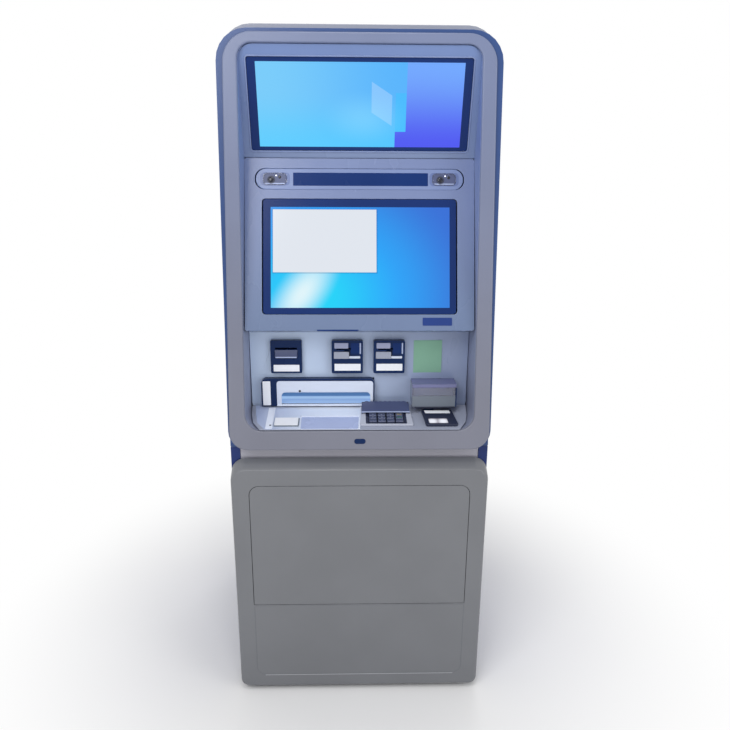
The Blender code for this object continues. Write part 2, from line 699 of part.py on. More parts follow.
def paper_roll():
    spot = across(PRINTER_X - 0.030, ROLL_DEPTH, ROLL_Z)
    return plate("paper_roll", circle(0, 0, ROLL_RADIUS, 32), 0, 0.060, "paper", spot)


def cash_slot_frame():
    """Dark bezel with the throat that leads notes back through the wall."""
    outer = rectangle(*CASH_X, *CASH_Z, 0.002, 0.014)
    inner = rectangle(*THROAT_X, *THROAT_Z, 0.003, 0.008)
    wall = 0.0028
    x = (THROAT_X[0] - wall, THROAT_X[1] + wall)
    z = (THROAT_Z[0] - wall, THROAT_Z[1] + wall)
    outside = rectangle(*x, *z, 0.003 + wall, 0.008 + wall)
    face, seat, back = WALL_DEPTH - 0.020, WALL_DEPTH - GAP, 0.2405
    loops = [(outer, face), (inner, face), (inner, back), (outside, back), (outside, seat), (outer, seat)]
    return body("cash_slot_frame", loops, "dark_bezel", ring=True)


def cash_shutter():
    x = (THROAT_X[0] + 0.001, THROAT_X[1] - 0.001)
    return plate("cash_shutter", rectangle(*x, *SHUTTER_Z, 0.004, 0.009), 0.128, 0.132, "white_gloss")


def document_hood():
    """Clear hood over a document rest, open towards the customer."""
    front, back = 0.085, WALL_DEPTH - GAP
    hood = block("document_hood", HOOD_X, (front, back), HOOD_Z, "clear_plastic", radius=0.006)
    x = (HOOD_X[0] + 0.004, HOOD_X[1] - 0.004)
    z = (HOOD_Z[0] + 0.004, HOOD_Z[1] - 0.010)
    return cut(hood, block("pocket", x, (front - 0.01, back - 0.010), z, "clear_plastic"))


def deck():
    corners = list(DECK_OUTLINE) + [(-x, s) for x, s in reversed(DECK_OUTLINE)]
    outline = rounded(corners, [0] * len(corners))
    shelf = plate("deck", outline, 0, DECK_THICKNESS, "white_gloss", DECK)
    x = (KEYPAD_X - KEYPAD_HALF + 0.0085, KEYPAD_X + KEYPAD_HALF - 0.0085)
    cut(shelf, block("keypad", x, (-0.01, 0.01), (0.017, 0.096), "white_gloss", DECK))
    x = (SCANNER_X[0] + 0.009, SCANNER_X[1] - 0.009)
    s = (SCANNER_S[0] + 0.009, SCANNER_S[1] - 0.009)
    return cut(shelf, block("scanner", x, (-0.01, 0.01), s, "white_gloss", DECK))


def keypad_body():
    """Keypad base in the deck, with a tray for the keys and a sloping shield behind them."""
    left, right = KEYPAD_X - KEYPAD_HALF, KEYPAD_X + KEYPAD_HALF
    base = block("keypad_body", (left, right), (-0.006, -GAP), KEYPAD_S, "black_plastic", DECK, 0.004)
    x = (left + 0.0095, right - 0.0095)
    under = block("under", x, (-0.002, 0.009), (0.018, 0.095), "black_plastic", DECK)
    half = 2 * KEY_PITCH[0]
    near, far = FIRST_ROW - KEY_PITCH[1] / 2 - 0.001, FIRST_ROW + 3.5 * KEY_PITCH[1] + 0.001
    x = (KEYPAD_X - half, KEYPAD_X + half)
    tray = block("tray", x, (-0.02, -0.0014), (near, far), "black_plastic", DECK)
    cut(fuse(base, under), tray)
    rise = (SHIELD_N[1] - SHIELD_N[0]) / (KEYPAD_S[1] - SHIELD_S)
    tilt = Matrix.Translation((0, SHIELD_S, SHIELD_N[0])) @ Matrix.Rotation(math.atan(rise), 4, "X")
    inset = 0.0004
    shield = block("shield", (left + inset, right - inset), (-0.030, -0.004), (SHIELD_S, KEYPAD_S[1] - inset),
                   "black_plastic", DECK)
    cut(shield, block("above", (-0.5, 0.5), (-0.2, 0), (-0.1, 0.3), "black_plastic", DECK @ tilt))
    return fuse(base, shield)


def key_spots():
    """Name, x and distance up the deck of each key, from the top row down."""
    for index, label in enumerate(KEY_LABELS):
        row, column = divmod(index, 4)
        x = KEYPAD_X + (column - 1.5) * KEY_PITCH[0]
        yield f"key_{label}", x, FIRST_ROW + (3 - row) * KEY_PITCH[1]


def keys():
    wide, long = KEY_SIZE[0] / 2, KEY_SIZE[1] / 2
    for name, x, s in key_spots():
        spot = DECK @ Matrix.Translation((x, s, 0.0042))
        outline = rectangle(-wide, wide, -long, long, 0.002)
        top = rectangle(KEY_CHAMFER - wide, wide - KEY_CHAMFER, KEY_CHAMFER - long, long - KEY_CHAMFER, 0.002)
        loops = [(outline, 0), (outline, KEY_CHAMFER - KEY_HEIGHT), (top, -KEY_HEIGHT)]
        body(name, loops, "key_metal", spot)


def code_scanner():
    """Low black block in the deck with a window for reading codes."""
    outline = rectangle(*SCANNER_X, *SCANNER_S, 0.006)
    block_top = plate("code_scanner", outline, -0.008, -GAP, "dark_bezel", DECK)
    x = (SCANNER_X[0] + 0.010, SCANNER_X[1] - 0.010)
    s = (SCANNER_S[0] + 0.010, SCANNER_S[1] - 0.010)
    under = block("under", x, (-0.001, 0.009), s, "dark_bezel", DECK)
    x = (SCANNER_X[0] + 0.016, SCANNER_X[1] - 0.024)
    s = (SCANNER_S[0] + 0.007, SCANNER_S[0] + 0.034)
    window = block("window", x, (-0.02, -0.0065), s, "dark_bezel", DECK)
    return cut(fuse(block_top, under), window)


# ---------------------------------------------------------------- assembly


def build_lower_door():
    flap, handle, dial, bolts = lock_flap(), safe_handle(), lock_dial(), bolt_bar()
    swing = pivot("lower_door_axis", HALF, DOOR_THICKNESS, 0, [door_cover(), safe_door()])
    axes = [
        pivot("flap_axis", 0, 0, FLAP_Z[0], [flap]),
        pivot("handle_axis", HANDLE_X, 0.036, HANDLE_Z, [handle]),
        pivot("dial_axis", DIAL_X, 0.036, DIAL_Z, [dial]),
        pivot("bolt_axis", -0.242, BOLT_DEPTH, BOLT_HEIGHTS[1], [bolts]),
    ]
    for axis in axes:
        axis.parent = swing
        axis.matrix_parent_inverse = swing.matrix_world.inverted()


def build_rear_door():
    swing = pivot("rear_door_axis", REAR_DOOR_HALF, BACK, 0, [rear_door()])
    axes = [
        pivot("rear_handle_axis", REAR_HANDLE_X, BACK, REAR_HANDLE_Z, [rear_handle()]),
        pivot("fan_axis", 0, 0.777, FAN_Z, [fan_rotor()]),
    ]
    for axis in axes:
        axis.parent = swing
        axis.matrix_parent_inverse = swing.matrix_world.inverted()


def build_fascia():
    keys()
    carried = [fascia_rim(), front_frame(), proximity_sensor(), ad_panel(), ad_display(), screen_panel()]
    carried += [main_display(), camera_bar(), reader_wall(), receipt_printer(), cash_slot_frame()]
    carried += [document_hood(), deck(), keypad_body(), code_scanner()] + cameras() + card_readers()
    carried += [bpy.data.objects[name] for name, _, _ in key_spots()]
    swing = pivot("fascia_axis", HALF, FASCIA_BACK, 0, carried)
    axes = [
        pivot("roll_axis", PRINTER_X, ROLL_DEPTH, ROLL_Z, [paper_roll()]),
        pivot("shutter_axis", sum(THROAT_X) / 2, 0.130, SHUTTER_Z[1], [cash_shutter()]),
    ]
    for axis in axes:
        axis.parent = swing
        axis.matrix_parent_inverse = swing.matrix_world.inverted()


def build():
    clear_scene()
    levelling_feet()
    plinth()
    safe_box()
    cassettes()
    lower_shell()
    neck_panel()
    build_lower_door()
    upper_housing()
    cash_recycler()
    industrial_pc()
    build_rear_door()
    build_fascia()


build()
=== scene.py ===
"""Finish of a free-standing cash machine with two displays, on a pale studio floor.

Metres, +Z up, the customer stands on the -Y side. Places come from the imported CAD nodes: a Panel is a
leaning frame whose x is world X, whose v runs up the panel, and whose n points out at the customer.
"""

import json
import math

import bmesh
import bpy
from mathutils import Matrix, Vector

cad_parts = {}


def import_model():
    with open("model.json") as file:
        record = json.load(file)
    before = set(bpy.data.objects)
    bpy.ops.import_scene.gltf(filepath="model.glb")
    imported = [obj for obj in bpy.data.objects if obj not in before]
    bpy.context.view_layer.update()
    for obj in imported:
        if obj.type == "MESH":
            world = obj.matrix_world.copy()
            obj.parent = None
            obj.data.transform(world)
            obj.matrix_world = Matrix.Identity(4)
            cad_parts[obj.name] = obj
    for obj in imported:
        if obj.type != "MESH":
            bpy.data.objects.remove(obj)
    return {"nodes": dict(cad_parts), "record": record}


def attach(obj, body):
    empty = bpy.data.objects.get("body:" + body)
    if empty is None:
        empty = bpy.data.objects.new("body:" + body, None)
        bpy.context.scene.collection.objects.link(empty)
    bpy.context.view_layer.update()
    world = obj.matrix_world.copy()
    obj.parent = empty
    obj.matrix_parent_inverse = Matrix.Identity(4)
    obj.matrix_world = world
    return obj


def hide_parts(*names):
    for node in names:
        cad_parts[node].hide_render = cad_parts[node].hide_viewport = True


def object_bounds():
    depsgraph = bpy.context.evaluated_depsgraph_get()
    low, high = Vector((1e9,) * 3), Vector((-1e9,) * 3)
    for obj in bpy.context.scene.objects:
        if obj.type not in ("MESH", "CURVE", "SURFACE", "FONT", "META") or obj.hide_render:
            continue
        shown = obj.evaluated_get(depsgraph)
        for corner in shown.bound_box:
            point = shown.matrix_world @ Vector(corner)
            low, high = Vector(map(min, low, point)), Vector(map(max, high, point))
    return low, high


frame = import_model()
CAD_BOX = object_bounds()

NODES = frame["nodes"]
BODY_OF = {node: body for body, nodes in frame["record"]["behaviour"]["bodies"].items() for node in nodes}
SLOT_OF = {part["node"]: part["material_slot"] for part in frame["record"]["subparts"]}

# Lean of each panel, in degrees back from upright
FASCIA_LEAN = 6.5
SCREEN_LEAN = 16.6
ADVERT_LEAN = -13.0
DECK_LEAN = 79.6

ARC_STEPS = 12
HAIR = 0.0003


# ---------------- colours and node materials


def rgb(code):
    """Linear colour of a hex code."""
    values = [int(code[i:i + 2], 16) / 255 for i in (0, 2, 4)]
    linear = [v / 12.92 if v <= 0.04045 else ((v + 0.055) / 1.055) ** 2.4 for v in values]
    return (*linear, 1.0)


class Nodes:
    """A node tree that nodes are added to."""

    def __init__(self, tree):
        self.tree = tree

    def feed(self, node, socket, value):
        """Links another node's output to the socket, or sets the socket's own value."""
        if isinstance(value, bpy.types.NodeSocket):
            self.tree.links.new(value, node.inputs[socket])
        else:
            node.inputs[socket].default_value = value

    def node(self, kind, inputs=(), **settings):
        made = self.tree.nodes.new(kind)
        adjust(made, **settings)
        for socket, value in dict(inputs).items():
            self.feed(made, socket, value)
        return made

    def math(self, operation, a, b=0.0):
        return self.node("ShaderNodeMath", {0: a, 1: b}, operation=operation).outputs[0]

    def times(self, a, b):
        return self.math("MULTIPLY", a, b)

    def minus(self, a, b):
        return self.math("SUBTRACT", a, b)


class Finish(Nodes):
    """One node material: a Principled shader and the nodes that feed it."""

    def __init__(self, name, roughness=0.5, metallic=0.0, **constants):
        self.material = bpy.data.materials.new(name)
        self.material.use_nodes = True
        super().__init__(self.material.node_tree)
        self.shader = self.tree.nodes["Principled BSDF"]
        self.set("Roughness", roughness)
        self.set("Metallic", metallic)
        for socket, value in constants.items():
            self.set(socket.replace("_", " "), value)
        self.place = self.node("ShaderNodeTexCoord").outputs["Object"]

    def set(self, socket, value):
        self.feed(self.shader, socket, value)

    def axes(self):
        split = self.node("ShaderNodeSeparateXYZ", {0: self.place})
        return split.outputs[0], split.outputs[1], split.outputs[2]

    def ramp(self, value, low, high, start=0.0, end=1.0):
        """Runs from start to end while the value runs from low to high."""
        inputs = {0: value, 1: low, 2: high, 3: start, 4: end}
        return self.node("ShaderNodeMapRange", inputs, interpolation_type="SMOOTHSTEP").outputs[0]

    def noise(self, scale, detail=2.0, stretch=(1, 1, 1)):
        mapped = self.node("ShaderNodeMapping", {"Vector": self.place, "Scale": stretch}).outputs[0]
        noise = self.node("ShaderNodeTexNoise", {"Vector": mapped, "Scale": scale, "Detail": detail})
        return noise.outputs[0]

    def mix(self, factor, a, b, blend="MIX"):
        inputs = {0: factor, 6: a, 7: b}
        return self.node("ShaderNodeMix", inputs, data_type="RGBA", blend_type=blend).outputs[2]

    def edges(self, radius):
        """1 on a sharp edge, 0 on a flat face."""
        rounded = self.node("ShaderNodeBevel", {"Radius": radius}, samples=4).outputs[0]
        normal = self.node("ShaderNodeNewGeometry").outputs["Normal"]
        dot = self.node("ShaderNodeVectorMath", {0: rounded, 1: normal}, operation="DOT_PRODUCT")
        return self.ramp(dot.outputs["Value"], 0.995, 0.8)

    def shine(self, colour, strength):
        self.set("Emission Color", colour)
        self.set("Emission Strength", strength)

    def bump(self, height, strength, distance):
        inputs = {"Height": height, "Strength": strength, "Distance": distance}
        self.set("Normal", self.node("ShaderNodeBump", inputs).outputs[0])


def blotched(finish, colour, spread, scale=5.0):
    """The colour, a little lighter and darker in soft patches."""
    darker = tuple(c * (1 - spread) for c in colour[:3]) + (1.0,)
    lighter = tuple(min(c * (1 + spread), 1.0) for c in colour[:3]) + (1.0,)
    return finish.mix(finish.ramp(finish.noise(scale, 3.0), 0.3, 0.7), darker, lighter)


def scuffed(finish, colour, worn, strength):
    """The colour, with its sharp edges rubbed here and there to the worn one."""
    scuffs = finish.ramp(finish.noise(38.0, 4.0), 0.42, 0.62)
    amount = finish.times(finish.edges(0.0016), scuffs)
    return finish.mix(finish.times(amount, strength), colour, rgb(worn))


def moulded(name, code, roughness=0.4, spread=0.05, grain=1400.0, depth=0.00006, worn=None, **more):
    """Moulded plastic or sprayed paint: soft patches, fine orange peel, edges worn a little lighter."""
    finish = Finish(name, roughness, **more)
    colour = blotched(finish, rgb(code), spread)
    if worn:
        colour = scuffed(finish, colour, worn, 0.55)
    finish.set("Base Color", colour)
    smears = finish.noise(9.0, 4.0, (1, 1, 0.35))
    finish.set("Roughness", finish.ramp(smears, 0.25, 0.75, roughness * 0.88, roughness * 1.14))
    finish.bump(finish.noise(grain, 2.0), 0.35, depth)
    return finish.material


def lit_plastic(name, high_code, low_code, span, roughness=0.34, worn="C9CDDC", axis=2):
    """Light plastic with painted light and shade: one colour runs into the other along an axis, as the light
    from the displays and lamps falls off.
    """
    finish = Finish(name, roughness)
    along = finish.ramp(finish.axes()[axis], *span)
    # painted light: the low colour runs into the high one along the axis
    painted_light = finish.mix(along, rgb(low_code), rgb(high_code))
    patches = finish.ramp(finish.noise(4.0, 3.0), 0.3, 0.7, 0.955, 1.045)
    shade = finish.node("ShaderNodeCombineXYZ", {0: patches, 1: patches, 2: patches}).outputs[0]
    colour = finish.mix(1.0, painted_light, shade, "MULTIPLY")
    finish.set("Base Color", scuffed(finish, colour, worn, 0.5))
    smears = finish.noise(7.0, 4.0, (1, 1, 0.4))
    finish.set("Roughness", finish.ramp(smears, 0.25, 0.75, roughness * 0.85, roughness * 1.15))
    finish.bump(finish.noise(1500.0, 2.0), 0.3, 0.00005)
    return finish.material


def brushed(name, code, roughness=0.35, stretch=(1, 1, 0.02), metallic=0.9):
    """Metal with fine brushing across the stretched axis, and brighter rubbed edges."""
    finish = Finish(name, roughness, metallic)
    lines = finish.noise(900.0, 3.0, stretch)
    base = blotched(finish, rgb(code), 0.1, 12.0)
    dark = tuple(c * 0.72 for c in rgb(code)[:3]) + (1.0,)
    streaked = finish.mix(finish.ramp(lines, 0.35, 0.65, 0.0, 0.35), base, dark)
    rubbed = finish.times(finish.edges(0.0012), 0.5)
    finish.set("Base Color", finish.mix(rubbed, streaked, rgb("D8DADF")))
    finish.set("Roughness", finish.ramp(lines, 0.3, 0.7, roughness * 0.8, roughness * 1.3))
    finish.bump(lines, 0.25, 0.00008)
    return finish.material


def look(recipe, *values, **named):
    """A recipe with its values, ready to be made into the material of a given name."""
    return lambda name: recipe(name, *values, **named)


# World heights between which the front runs from its low colour to its bluer high one: painted light from the
# displays above
FRONT_SPAN = (0.8, 1.75)
# Moulded finishes: colour, roughness, patchiness, then the grain, its depth and the worn colour
MOULDED = {
    "housing_paint": ("969AA8", 0.45, 0.04, 900, 0.0001, "C8CAD2"),
    # A lighter copy of the blue paint, for the fascia's rim: painted light
    "rim_paint": ("26447A", 0.3, 0.05, 900, 0.00008, "7C8CBC"),
    # A lighter copy of the door's grey paint, for the neck under the fascia: painted light
    "neck_paint": ("A6A5B0", 0.34, 0.035, 1100, 0.00008, "B8B8C2"),
    "grey_paint": ("727479", 0.34, 0.035, 1100, 0.00008, "A9ABB2"),
    "white_plastic": ("E0E8F8", 0.18, 0.03, 1400, 0.00004, "F2F4FA"),
    "clear_plastic": ("8894B8", 0.16, 0.04, 1500, 0.00003, "C4CCE0"),
    "black_plastic": ("20263E", 0.42, 0.1, 900, 0.00012, "4A5068"),
    "module_case": ("63666E", 0.48, 0.08, 700, 0.00014, "8F929A"),
    "paper": ("ECECE6", 0.85, 0.03, 500, 0.0001),
    "rubber": ("232427", 0.8, 0.12, 500, 0.00025, "4A4B50"),
    "lip_plastic": ("A9B6D8", 0.28, 0.04),
    "reader_plate": ("989EBC", 0.3, 0.04, 1100, 0.00004, "B8BED6"),
    "pod_plastic": ("5E6E9C", 0.22, 0.08, 1300, 0.00004, "9AA8CC"),
    "pill_plastic": ("7484AE", 0.24, 0.04, 1300, 0.00004, "BAC4DE"),
    "slate_plastic": ("444D70", 0.36, 0.07, 1200, 0.00006, "7F8BB0"),
    "label_white": ("EEF1F8", 0.42, 0.02, 900, 0.00003),
    "note_green": ("84B29A", 0.8, 0.06, 500, 0.00008),
    "tray_grey": ("69727F", 0.34, 0.06, 1100, 0.00006, "8F98A6"),
    "mount_grey": ("9AA0B2", 0.36, 0.04, 1100, 0.00006, "AEB3C4"),
    "surround_grey": ("B6BBCA", 0.34, 0.04, 1100, 0.00006, "D0D4DE"),
    "tray_lilac": ("A9B6DC", 0.26, 0.04, 1300, 0.00004, "CCD6F2"),
    "mouth_lilac": ("D0D9EC", 0.2, 0.03, 1300, 0.00004, "E4EAFA"),
    "hood_lilac": ("6A6D96", 0.24, 0.05, 1300, 0.00004, "A4A7C8"),
    "lens_glass": ("0A1024", 0.06, 0.2, 2000, 0.00001),
    "key_print": ("9096AE", 0.5, 0.03, 900, 0.00002),
    "key_red": ("A03038", 0.45, 0.06, 900, 0.00003),
    "key_yellow": ("B09A38", 0.45, 0.06, 900, 0.00003),
    "key_green": ("3A8458", 0.45, 0.06, 900, 0.00003),
    "groove_grey": ("6A6D73", 0.4, 0.04, 900, 0.00005),
    "edge_grey": ("A6A8AD", 0.36, 0.04, 900, 0.00005),
}
# The same for dark pieces, with the specular level first, as they mirror less
DULL = {
    "blue_paint": (0.3, ("1A2F6A", 0.36, 0.06, 900, 0.0001, "5C6EA6")),
    "dark_bezel": (0.15, ("0C2652", 0.26, 0.1, 1600, 0.00003, "2C4270")),
    "display_module": (0.15, ("122C64", 0.22, 0.07, 1600, 0.00003, "345494")),
    "strip_blue": (0.12, ("122E66", 0.26, 0.05, 1500, 0.00003)),
    "label_blue": (0.3, ("1A3678", 0.34, 0.05, 900, 0.00004)),
}
FINISHES = {
    # The frame runs from grey at its foot to bluer at its head: painted light from the displays.
    "light_plastic": look(lit_plastic, "6C7695", "767886", FRONT_SPAN, worn="B4BACE"),
    # The screen panel runs lighter and bluer towards its top: painted light.
    "screen_plastic": look(lit_plastic, "6F7DA4", "667798", (1.05, 1.45), 0.26, worn="A8B4D0"),
    # The advertising panel runs darker towards its head: painted shade.
    "advert_plastic": look(lit_plastic, "687DAC", "7484A8", (1.5, 1.76), 0.3, "94A2C4"),
    # The niche walls: a lighter, bluer copy of the frame's plastic, running darker and bluer towards the
    # head: painted light from the displays and painted shade.
    "niche_plastic": look(lit_plastic, "7286B4", "8A90A8", FRONT_SPAN, 0.36),
    # The reader wall runs lighter towards its left side: painted light.
    "wall_plastic": look(lit_plastic, "92A0C0", "CADCF6", (-0.32, 0.26), 0.3, axis=0),
    "safe_steel": look(brushed, "5A5D62", 0.5, (0.05, 1, 1), 0.6),
    "zinc": look(brushed, "B4B7BE", 0.32),
    "key_metal": look(brushed, "4E5674", 0.38, (0.03, 1, 1), 0.35),
}
FINISHES.update({name: look(moulded, *values) for name, values in MOULDED.items()})
for dull_name, (level, values) in DULL.items():
    FINISHES[dull_name] = look(moulded, *values, Specular_IOR_Level=level)
MADE = {}


def finish_for(key):
    if key not in MADE:
        MADE[key] = FINISHES[key](key)
    return MADE[key]


# ---------------- panels and outlines


class Panel:
    """A leaning frame without an offset: its numbers are world metres, turned."""

    def __init__(self, lean):
        s, c = math.sin(math.radians(lean)), math.cos(math.radians(lean))
        self.turn = Matrix(((1, 0, 0), (0, s, -c), (0, c, s)))

    def span(self, node):
        """Lowest and highest (x, v, n) of a CAD node in this frame."""
        back = self.turn.transposed()
        points = [back @ vertex.co for vertex in NODES[node].data.vertices]
        low = Vector([min(p[i] for p in points) for i in range(3)])
        high = Vector([max(p[i] for p in points) for i in range(3)])
        return low, high

    def matrix(self):
        return self.turn.to_4x4()


UPRIGHT = Panel(0.0)
FASCIA = Panel(FASCIA_LEAN)
SCREEN = Panel(SCREEN_LEAN)
ADVERT = Panel(ADVERT_LEAN)
DECK = Panel(DECK_LEAN)


def rounded(corners, radii, steps=ARC_STEPS):
    """The outline through these corners, each rounded to its radius."""
    points = []
    count = len(corners)
    for index, radius in enumerate(radii):
        corner = Vector(corners[index])
        if radius <= 0:
            points.append(corner)
            continue
        back = (Vector(corners[index - 1]) - corner).normalized()
        ahead = (Vector(corners[(index + 1) % count]) - corner).normalized()
        half_angle = back.angle(ahead) / 2
        centre = corner + (back + ahead).normalized() * radius / math.sin(half_angle)
        start = corner + back * radius / math.tan(half_angle) - centre
        turn = math.pi - 2 * half_angle
        side = 1 if back.cross(ahead) < 0 else -1
        for step in range(steps + 1):
            angle = side * turn * step / steps
            s, c = math.sin(angle), math.cos(angle)
            points.append(centre + Vector((start.x * c - start.y * s, start.x * s + start.y * c)))
    return points


def rectangle(x, v, low=0.0, high=None, steps=ARC_STEPS):
    high = low if high is None else high
    return rounded(four(x, v), (low, low, high, high), steps)


def four(near, v, far=None):
    """Corners between two heights, from the sides at the lower one to the sides at the upper one."""
    far = far or near
    return (near[0], v[0]), (near[1], v[0]), (far[1], v[1]), (far[0], v[1])


def circle(x, v, radius, steps=48):
    turn = 2 * math.pi / steps
    return [Vector((x + radius * math.cos(turn * i), v + radius * math.sin(turn * i))) for i in range(steps)]


# ---------------- pieces


def new_object(name, data):
    """An object, linked into the scene."""
    item = bpy.data.objects.new(name, data)
    bpy.context.scene.collection.objects.link(item)
    return item


def adjust(item, **settings):
    for key, value in settings.items():
        setattr(item, key, value)


def piece(name, mesh, key, body, slot=None, matrix=None, edge=0.0, segments=3, smooth=40, local=False):
    """An object with a finish that rides on a body; its edges are rounded over by the given width.

    A local piece keeps its panel's axes, so that its finish can paint by them.
    """
    item = new_object(name, mesh)
    if matrix is not None and local:
        item.matrix_world = matrix
    elif matrix is not None:
        mesh.transform(matrix)
    mesh.materials.clear()
    mesh.materials.append(finish_for(key))
    mesh.polygons.foreach_set("use_smooth", [True] * len(mesh.polygons))
    mesh.set_sharp_from_angle(angle=math.radians(smooth))
    if edge > 0:
        adjust(item.modifiers.new("edges", "BEVEL"), width=edge, segments=segments, limit_method="ANGLE",
               angle_limit=math.radians(smooth), use_clamp_overlap=True, miter_outer="MITER_ARC",
               harden_normals=True)
        adjust(item.modifiers.new("flat faces", "WEIGHTED_NORMAL"), keep_sharp=True, weight=100)
    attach(item, body)
    return item


def skinned(name, rows, key, panel=UPRIGHT, body="fascia", ring=False, **more):
    """A closed solid through closed rows of (x, v, n) points; a ring joins the last row to the first."""
    mesh = bpy.data.meshes.new(name)
    build = bmesh.new()
    made = [[build.verts.new(point) for point in row] for row in rows]
    pairs = list(zip(made, made[1:])) + ([(made[-1], made[0])] if ring else [])
    for first, second in pairs:
        for i in range(len(first)):
            j = (i + 1) % len(first)
            build.faces.new((first[i], first[j], second[j], second[i]))
    if not ring:
        build.faces.new(made[0])
        build.faces.new(made[-1])
    bmesh.ops.recalc_face_normals(build, faces=build.faces)
    build.to_mesh(mesh)
    build.free()
    return piece(name, mesh, key, body, matrix=panel.matrix(), **more)


def lofted(name, loops, key, panel=UPRIGHT, **more):
    """A solid through outlines, each at its own depth n."""
    rows = [[(point.x, point.y, n) for point in outline] for outline, n in loops]
    return skinned(name, rows, key, panel, **more)


def slab(name, outline, n, key, panel=UPRIGHT, **more):
    """An outline between two depths."""
    return lofted(name, [(outline, n[0]), (outline, n[1])], key, panel, **more)


def collar(name, outer, inner, n, key, panel=UPRIGHT, **more):
    """A ring between two outlines and two depths."""
    loops = [(outer, n[1]), (inner, n[1]), (inner, n[0]), (outer, n[0])]
    return lofted(name, loops, key, panel, ring=True, **more)


def flat(name, x, v, n, key, slot, radius=0.0008, edge=0.0003, panel=UPRIGHT, steps=5, **more):
    """A small plate with rounded corners."""
    slab(name, rectangle(x, v, radius, steps=steps), n, key, panel, slot=slot, edge=edge, **more)


def softened(node, edge, key=None, segments=3):
    """The CAD solid with clean faces and rounded edges, in the node's place."""
    mesh = NODES[node].data.copy()
    build = bmesh.new()
    build.from_mesh(mesh)
    bmesh.ops.remove_doubles(build, verts=build.verts, dist=0.00002)
    bmesh.ops.join_triangles(build, faces=build.faces, angle_face_threshold=math.radians(1.0),
                             angle_shape_threshold=math.radians(60.0))
    build.to_mesh(mesh)
    build.free()
    slot = SLOT_OF[node]
    made = piece(node + "_finish", mesh, key or slot, BODY_OF[node], slot=slot, edge=edge, segments=segments)
    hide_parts(node)
    return made


# ---------------- stage


CAMERA_PLACE = (-0.027, -2.081, 1.516)
CAMERA_PITCH = 16.65
CAMERA_YAW = -1.34
CAMERA_ROLL = 0.29
CAMERA_LENS = 33.72
# Name, place, aim, width of the disc in metres, watts
LAMPS = (
    ("key", (-1.3, -2.6, 3.1), (0, -0.1, 1.1), 1.8, 38),
    ("fill", (2.4, -2.2, 1.9), (0, 0, 1.0), 2.0, 20),
    ("top", (0.0, -1.5, 3.4), (0, -0.3, 0.8), 0.5, 12),
    ("rear", (0.4, 2.9, 2.6), (0, 0.2, 1.0), 2.4, 36),
)
WORLD_LIGHT = 0.52
FLOOR_RADIUS = 40
# Distances from the middle between which the lit floor fades to plain white
FLOOR_FADE = (0.48, 1.3)


def stage():
    """The camera at the photograph's angle, the world, the lamps and the floor."""
    scene = bpy.context.scene
    scene.view_settings.view_transform = "Standard"
    camera = new_object("camera", bpy.data.cameras.new("camera"))
    adjust(camera.data, lens=CAMERA_LENS, sensor_width=36.0, clip_end=60)
    turns = ((CAMERA_YAW, "Z"), (90 - CAMERA_PITCH, "X"), (CAMERA_ROLL, "Z"))
    aim = Matrix.Translation(CAMERA_PLACE)
    for degrees, axis in turns:
        aim = aim @ Matrix.Rotation(math.radians(degrees), 4, axis)
    camera.matrix_world = aim
    scene.camera = camera
    world()
    for settings in LAMPS:
        lamp(*settings)
    floor()


def world():
    """White to the eye and in reflections, and a plain level of light on the object."""
    scene = bpy.context.scene
    scene.world = bpy.data.worlds.new("studio")
    scene.world.use_nodes = True
    nodes = Nodes(scene.world.node_tree)
    paths = nodes.node("ShaderNodeLightPath").outputs
    seen = paths["Is Camera Ray"]
    for ray in ("Is Transmission Ray", "Is Glossy Ray"):
        seen = nodes.math("MAXIMUM", seen, paths[ray])
    level = nodes.node("ShaderNodeMapRange", {"Value": seen, "To Min": WORLD_LIGHT, "To Max": 1.0})
    background = nodes.tree.nodes["Background"]
    nodes.feed(background, "Strength", level.outputs[0])
    nodes.feed(background, "Color", (1, 1, 1, 1))


def lamp(name, place, aim, size, watts):
    data = bpy.data.lights.new(name, "AREA")
    adjust(data, shape="DISK", size=size, energy=watts)
    item = new_object(name, data)
    item.location = place
    item.rotation_euler = (Vector(aim) - Vector(place)).to_track_quat("-Z", "Y").to_euler()


def floor():
    """Round pale floor: lit and shadowed near the object, plain white further out."""
    mesh = bpy.data.meshes.new("floor")
    build = bmesh.new()
    bmesh.ops.create_circle(build, cap_ends=True, segments=96, radius=FLOOR_RADIUS)
    build.to_mesh(mesh)
    build.free()
    item = new_object("floor", mesh)
    item.location.z = CAD_BOX[0][2] - HAIR
    finish = Finish("floor", 0.9, Specular_IOR_Level=0.0)
    finish.set("Base Color", blotched(finish, rgb("F4F4F5"), 0.01, 1.5))
    x, y, _ = finish.axes()
    squares = (finish.times(x, x), finish.times(y, y))
    away = finish.math("SQRT", finish.math("ADD", *squares))
    glow = finish.node("ShaderNodeEmission", {"Color": (1, 1, 1, 1), "Strength": 1.0}).outputs[0]
    fade = finish.ramp(away, *FLOOR_FADE)
    both = finish.node("ShaderNodeMixShader", {0: fade, 1: finish.shader.outputs[0], 2: glow}).outputs[0]
    finish.tree.links.new(both, finish.tree.nodes["Material Output"].inputs["Surface"])
    mesh.materials.append(finish.material)


# ---------------- CAD solids with rounded edges


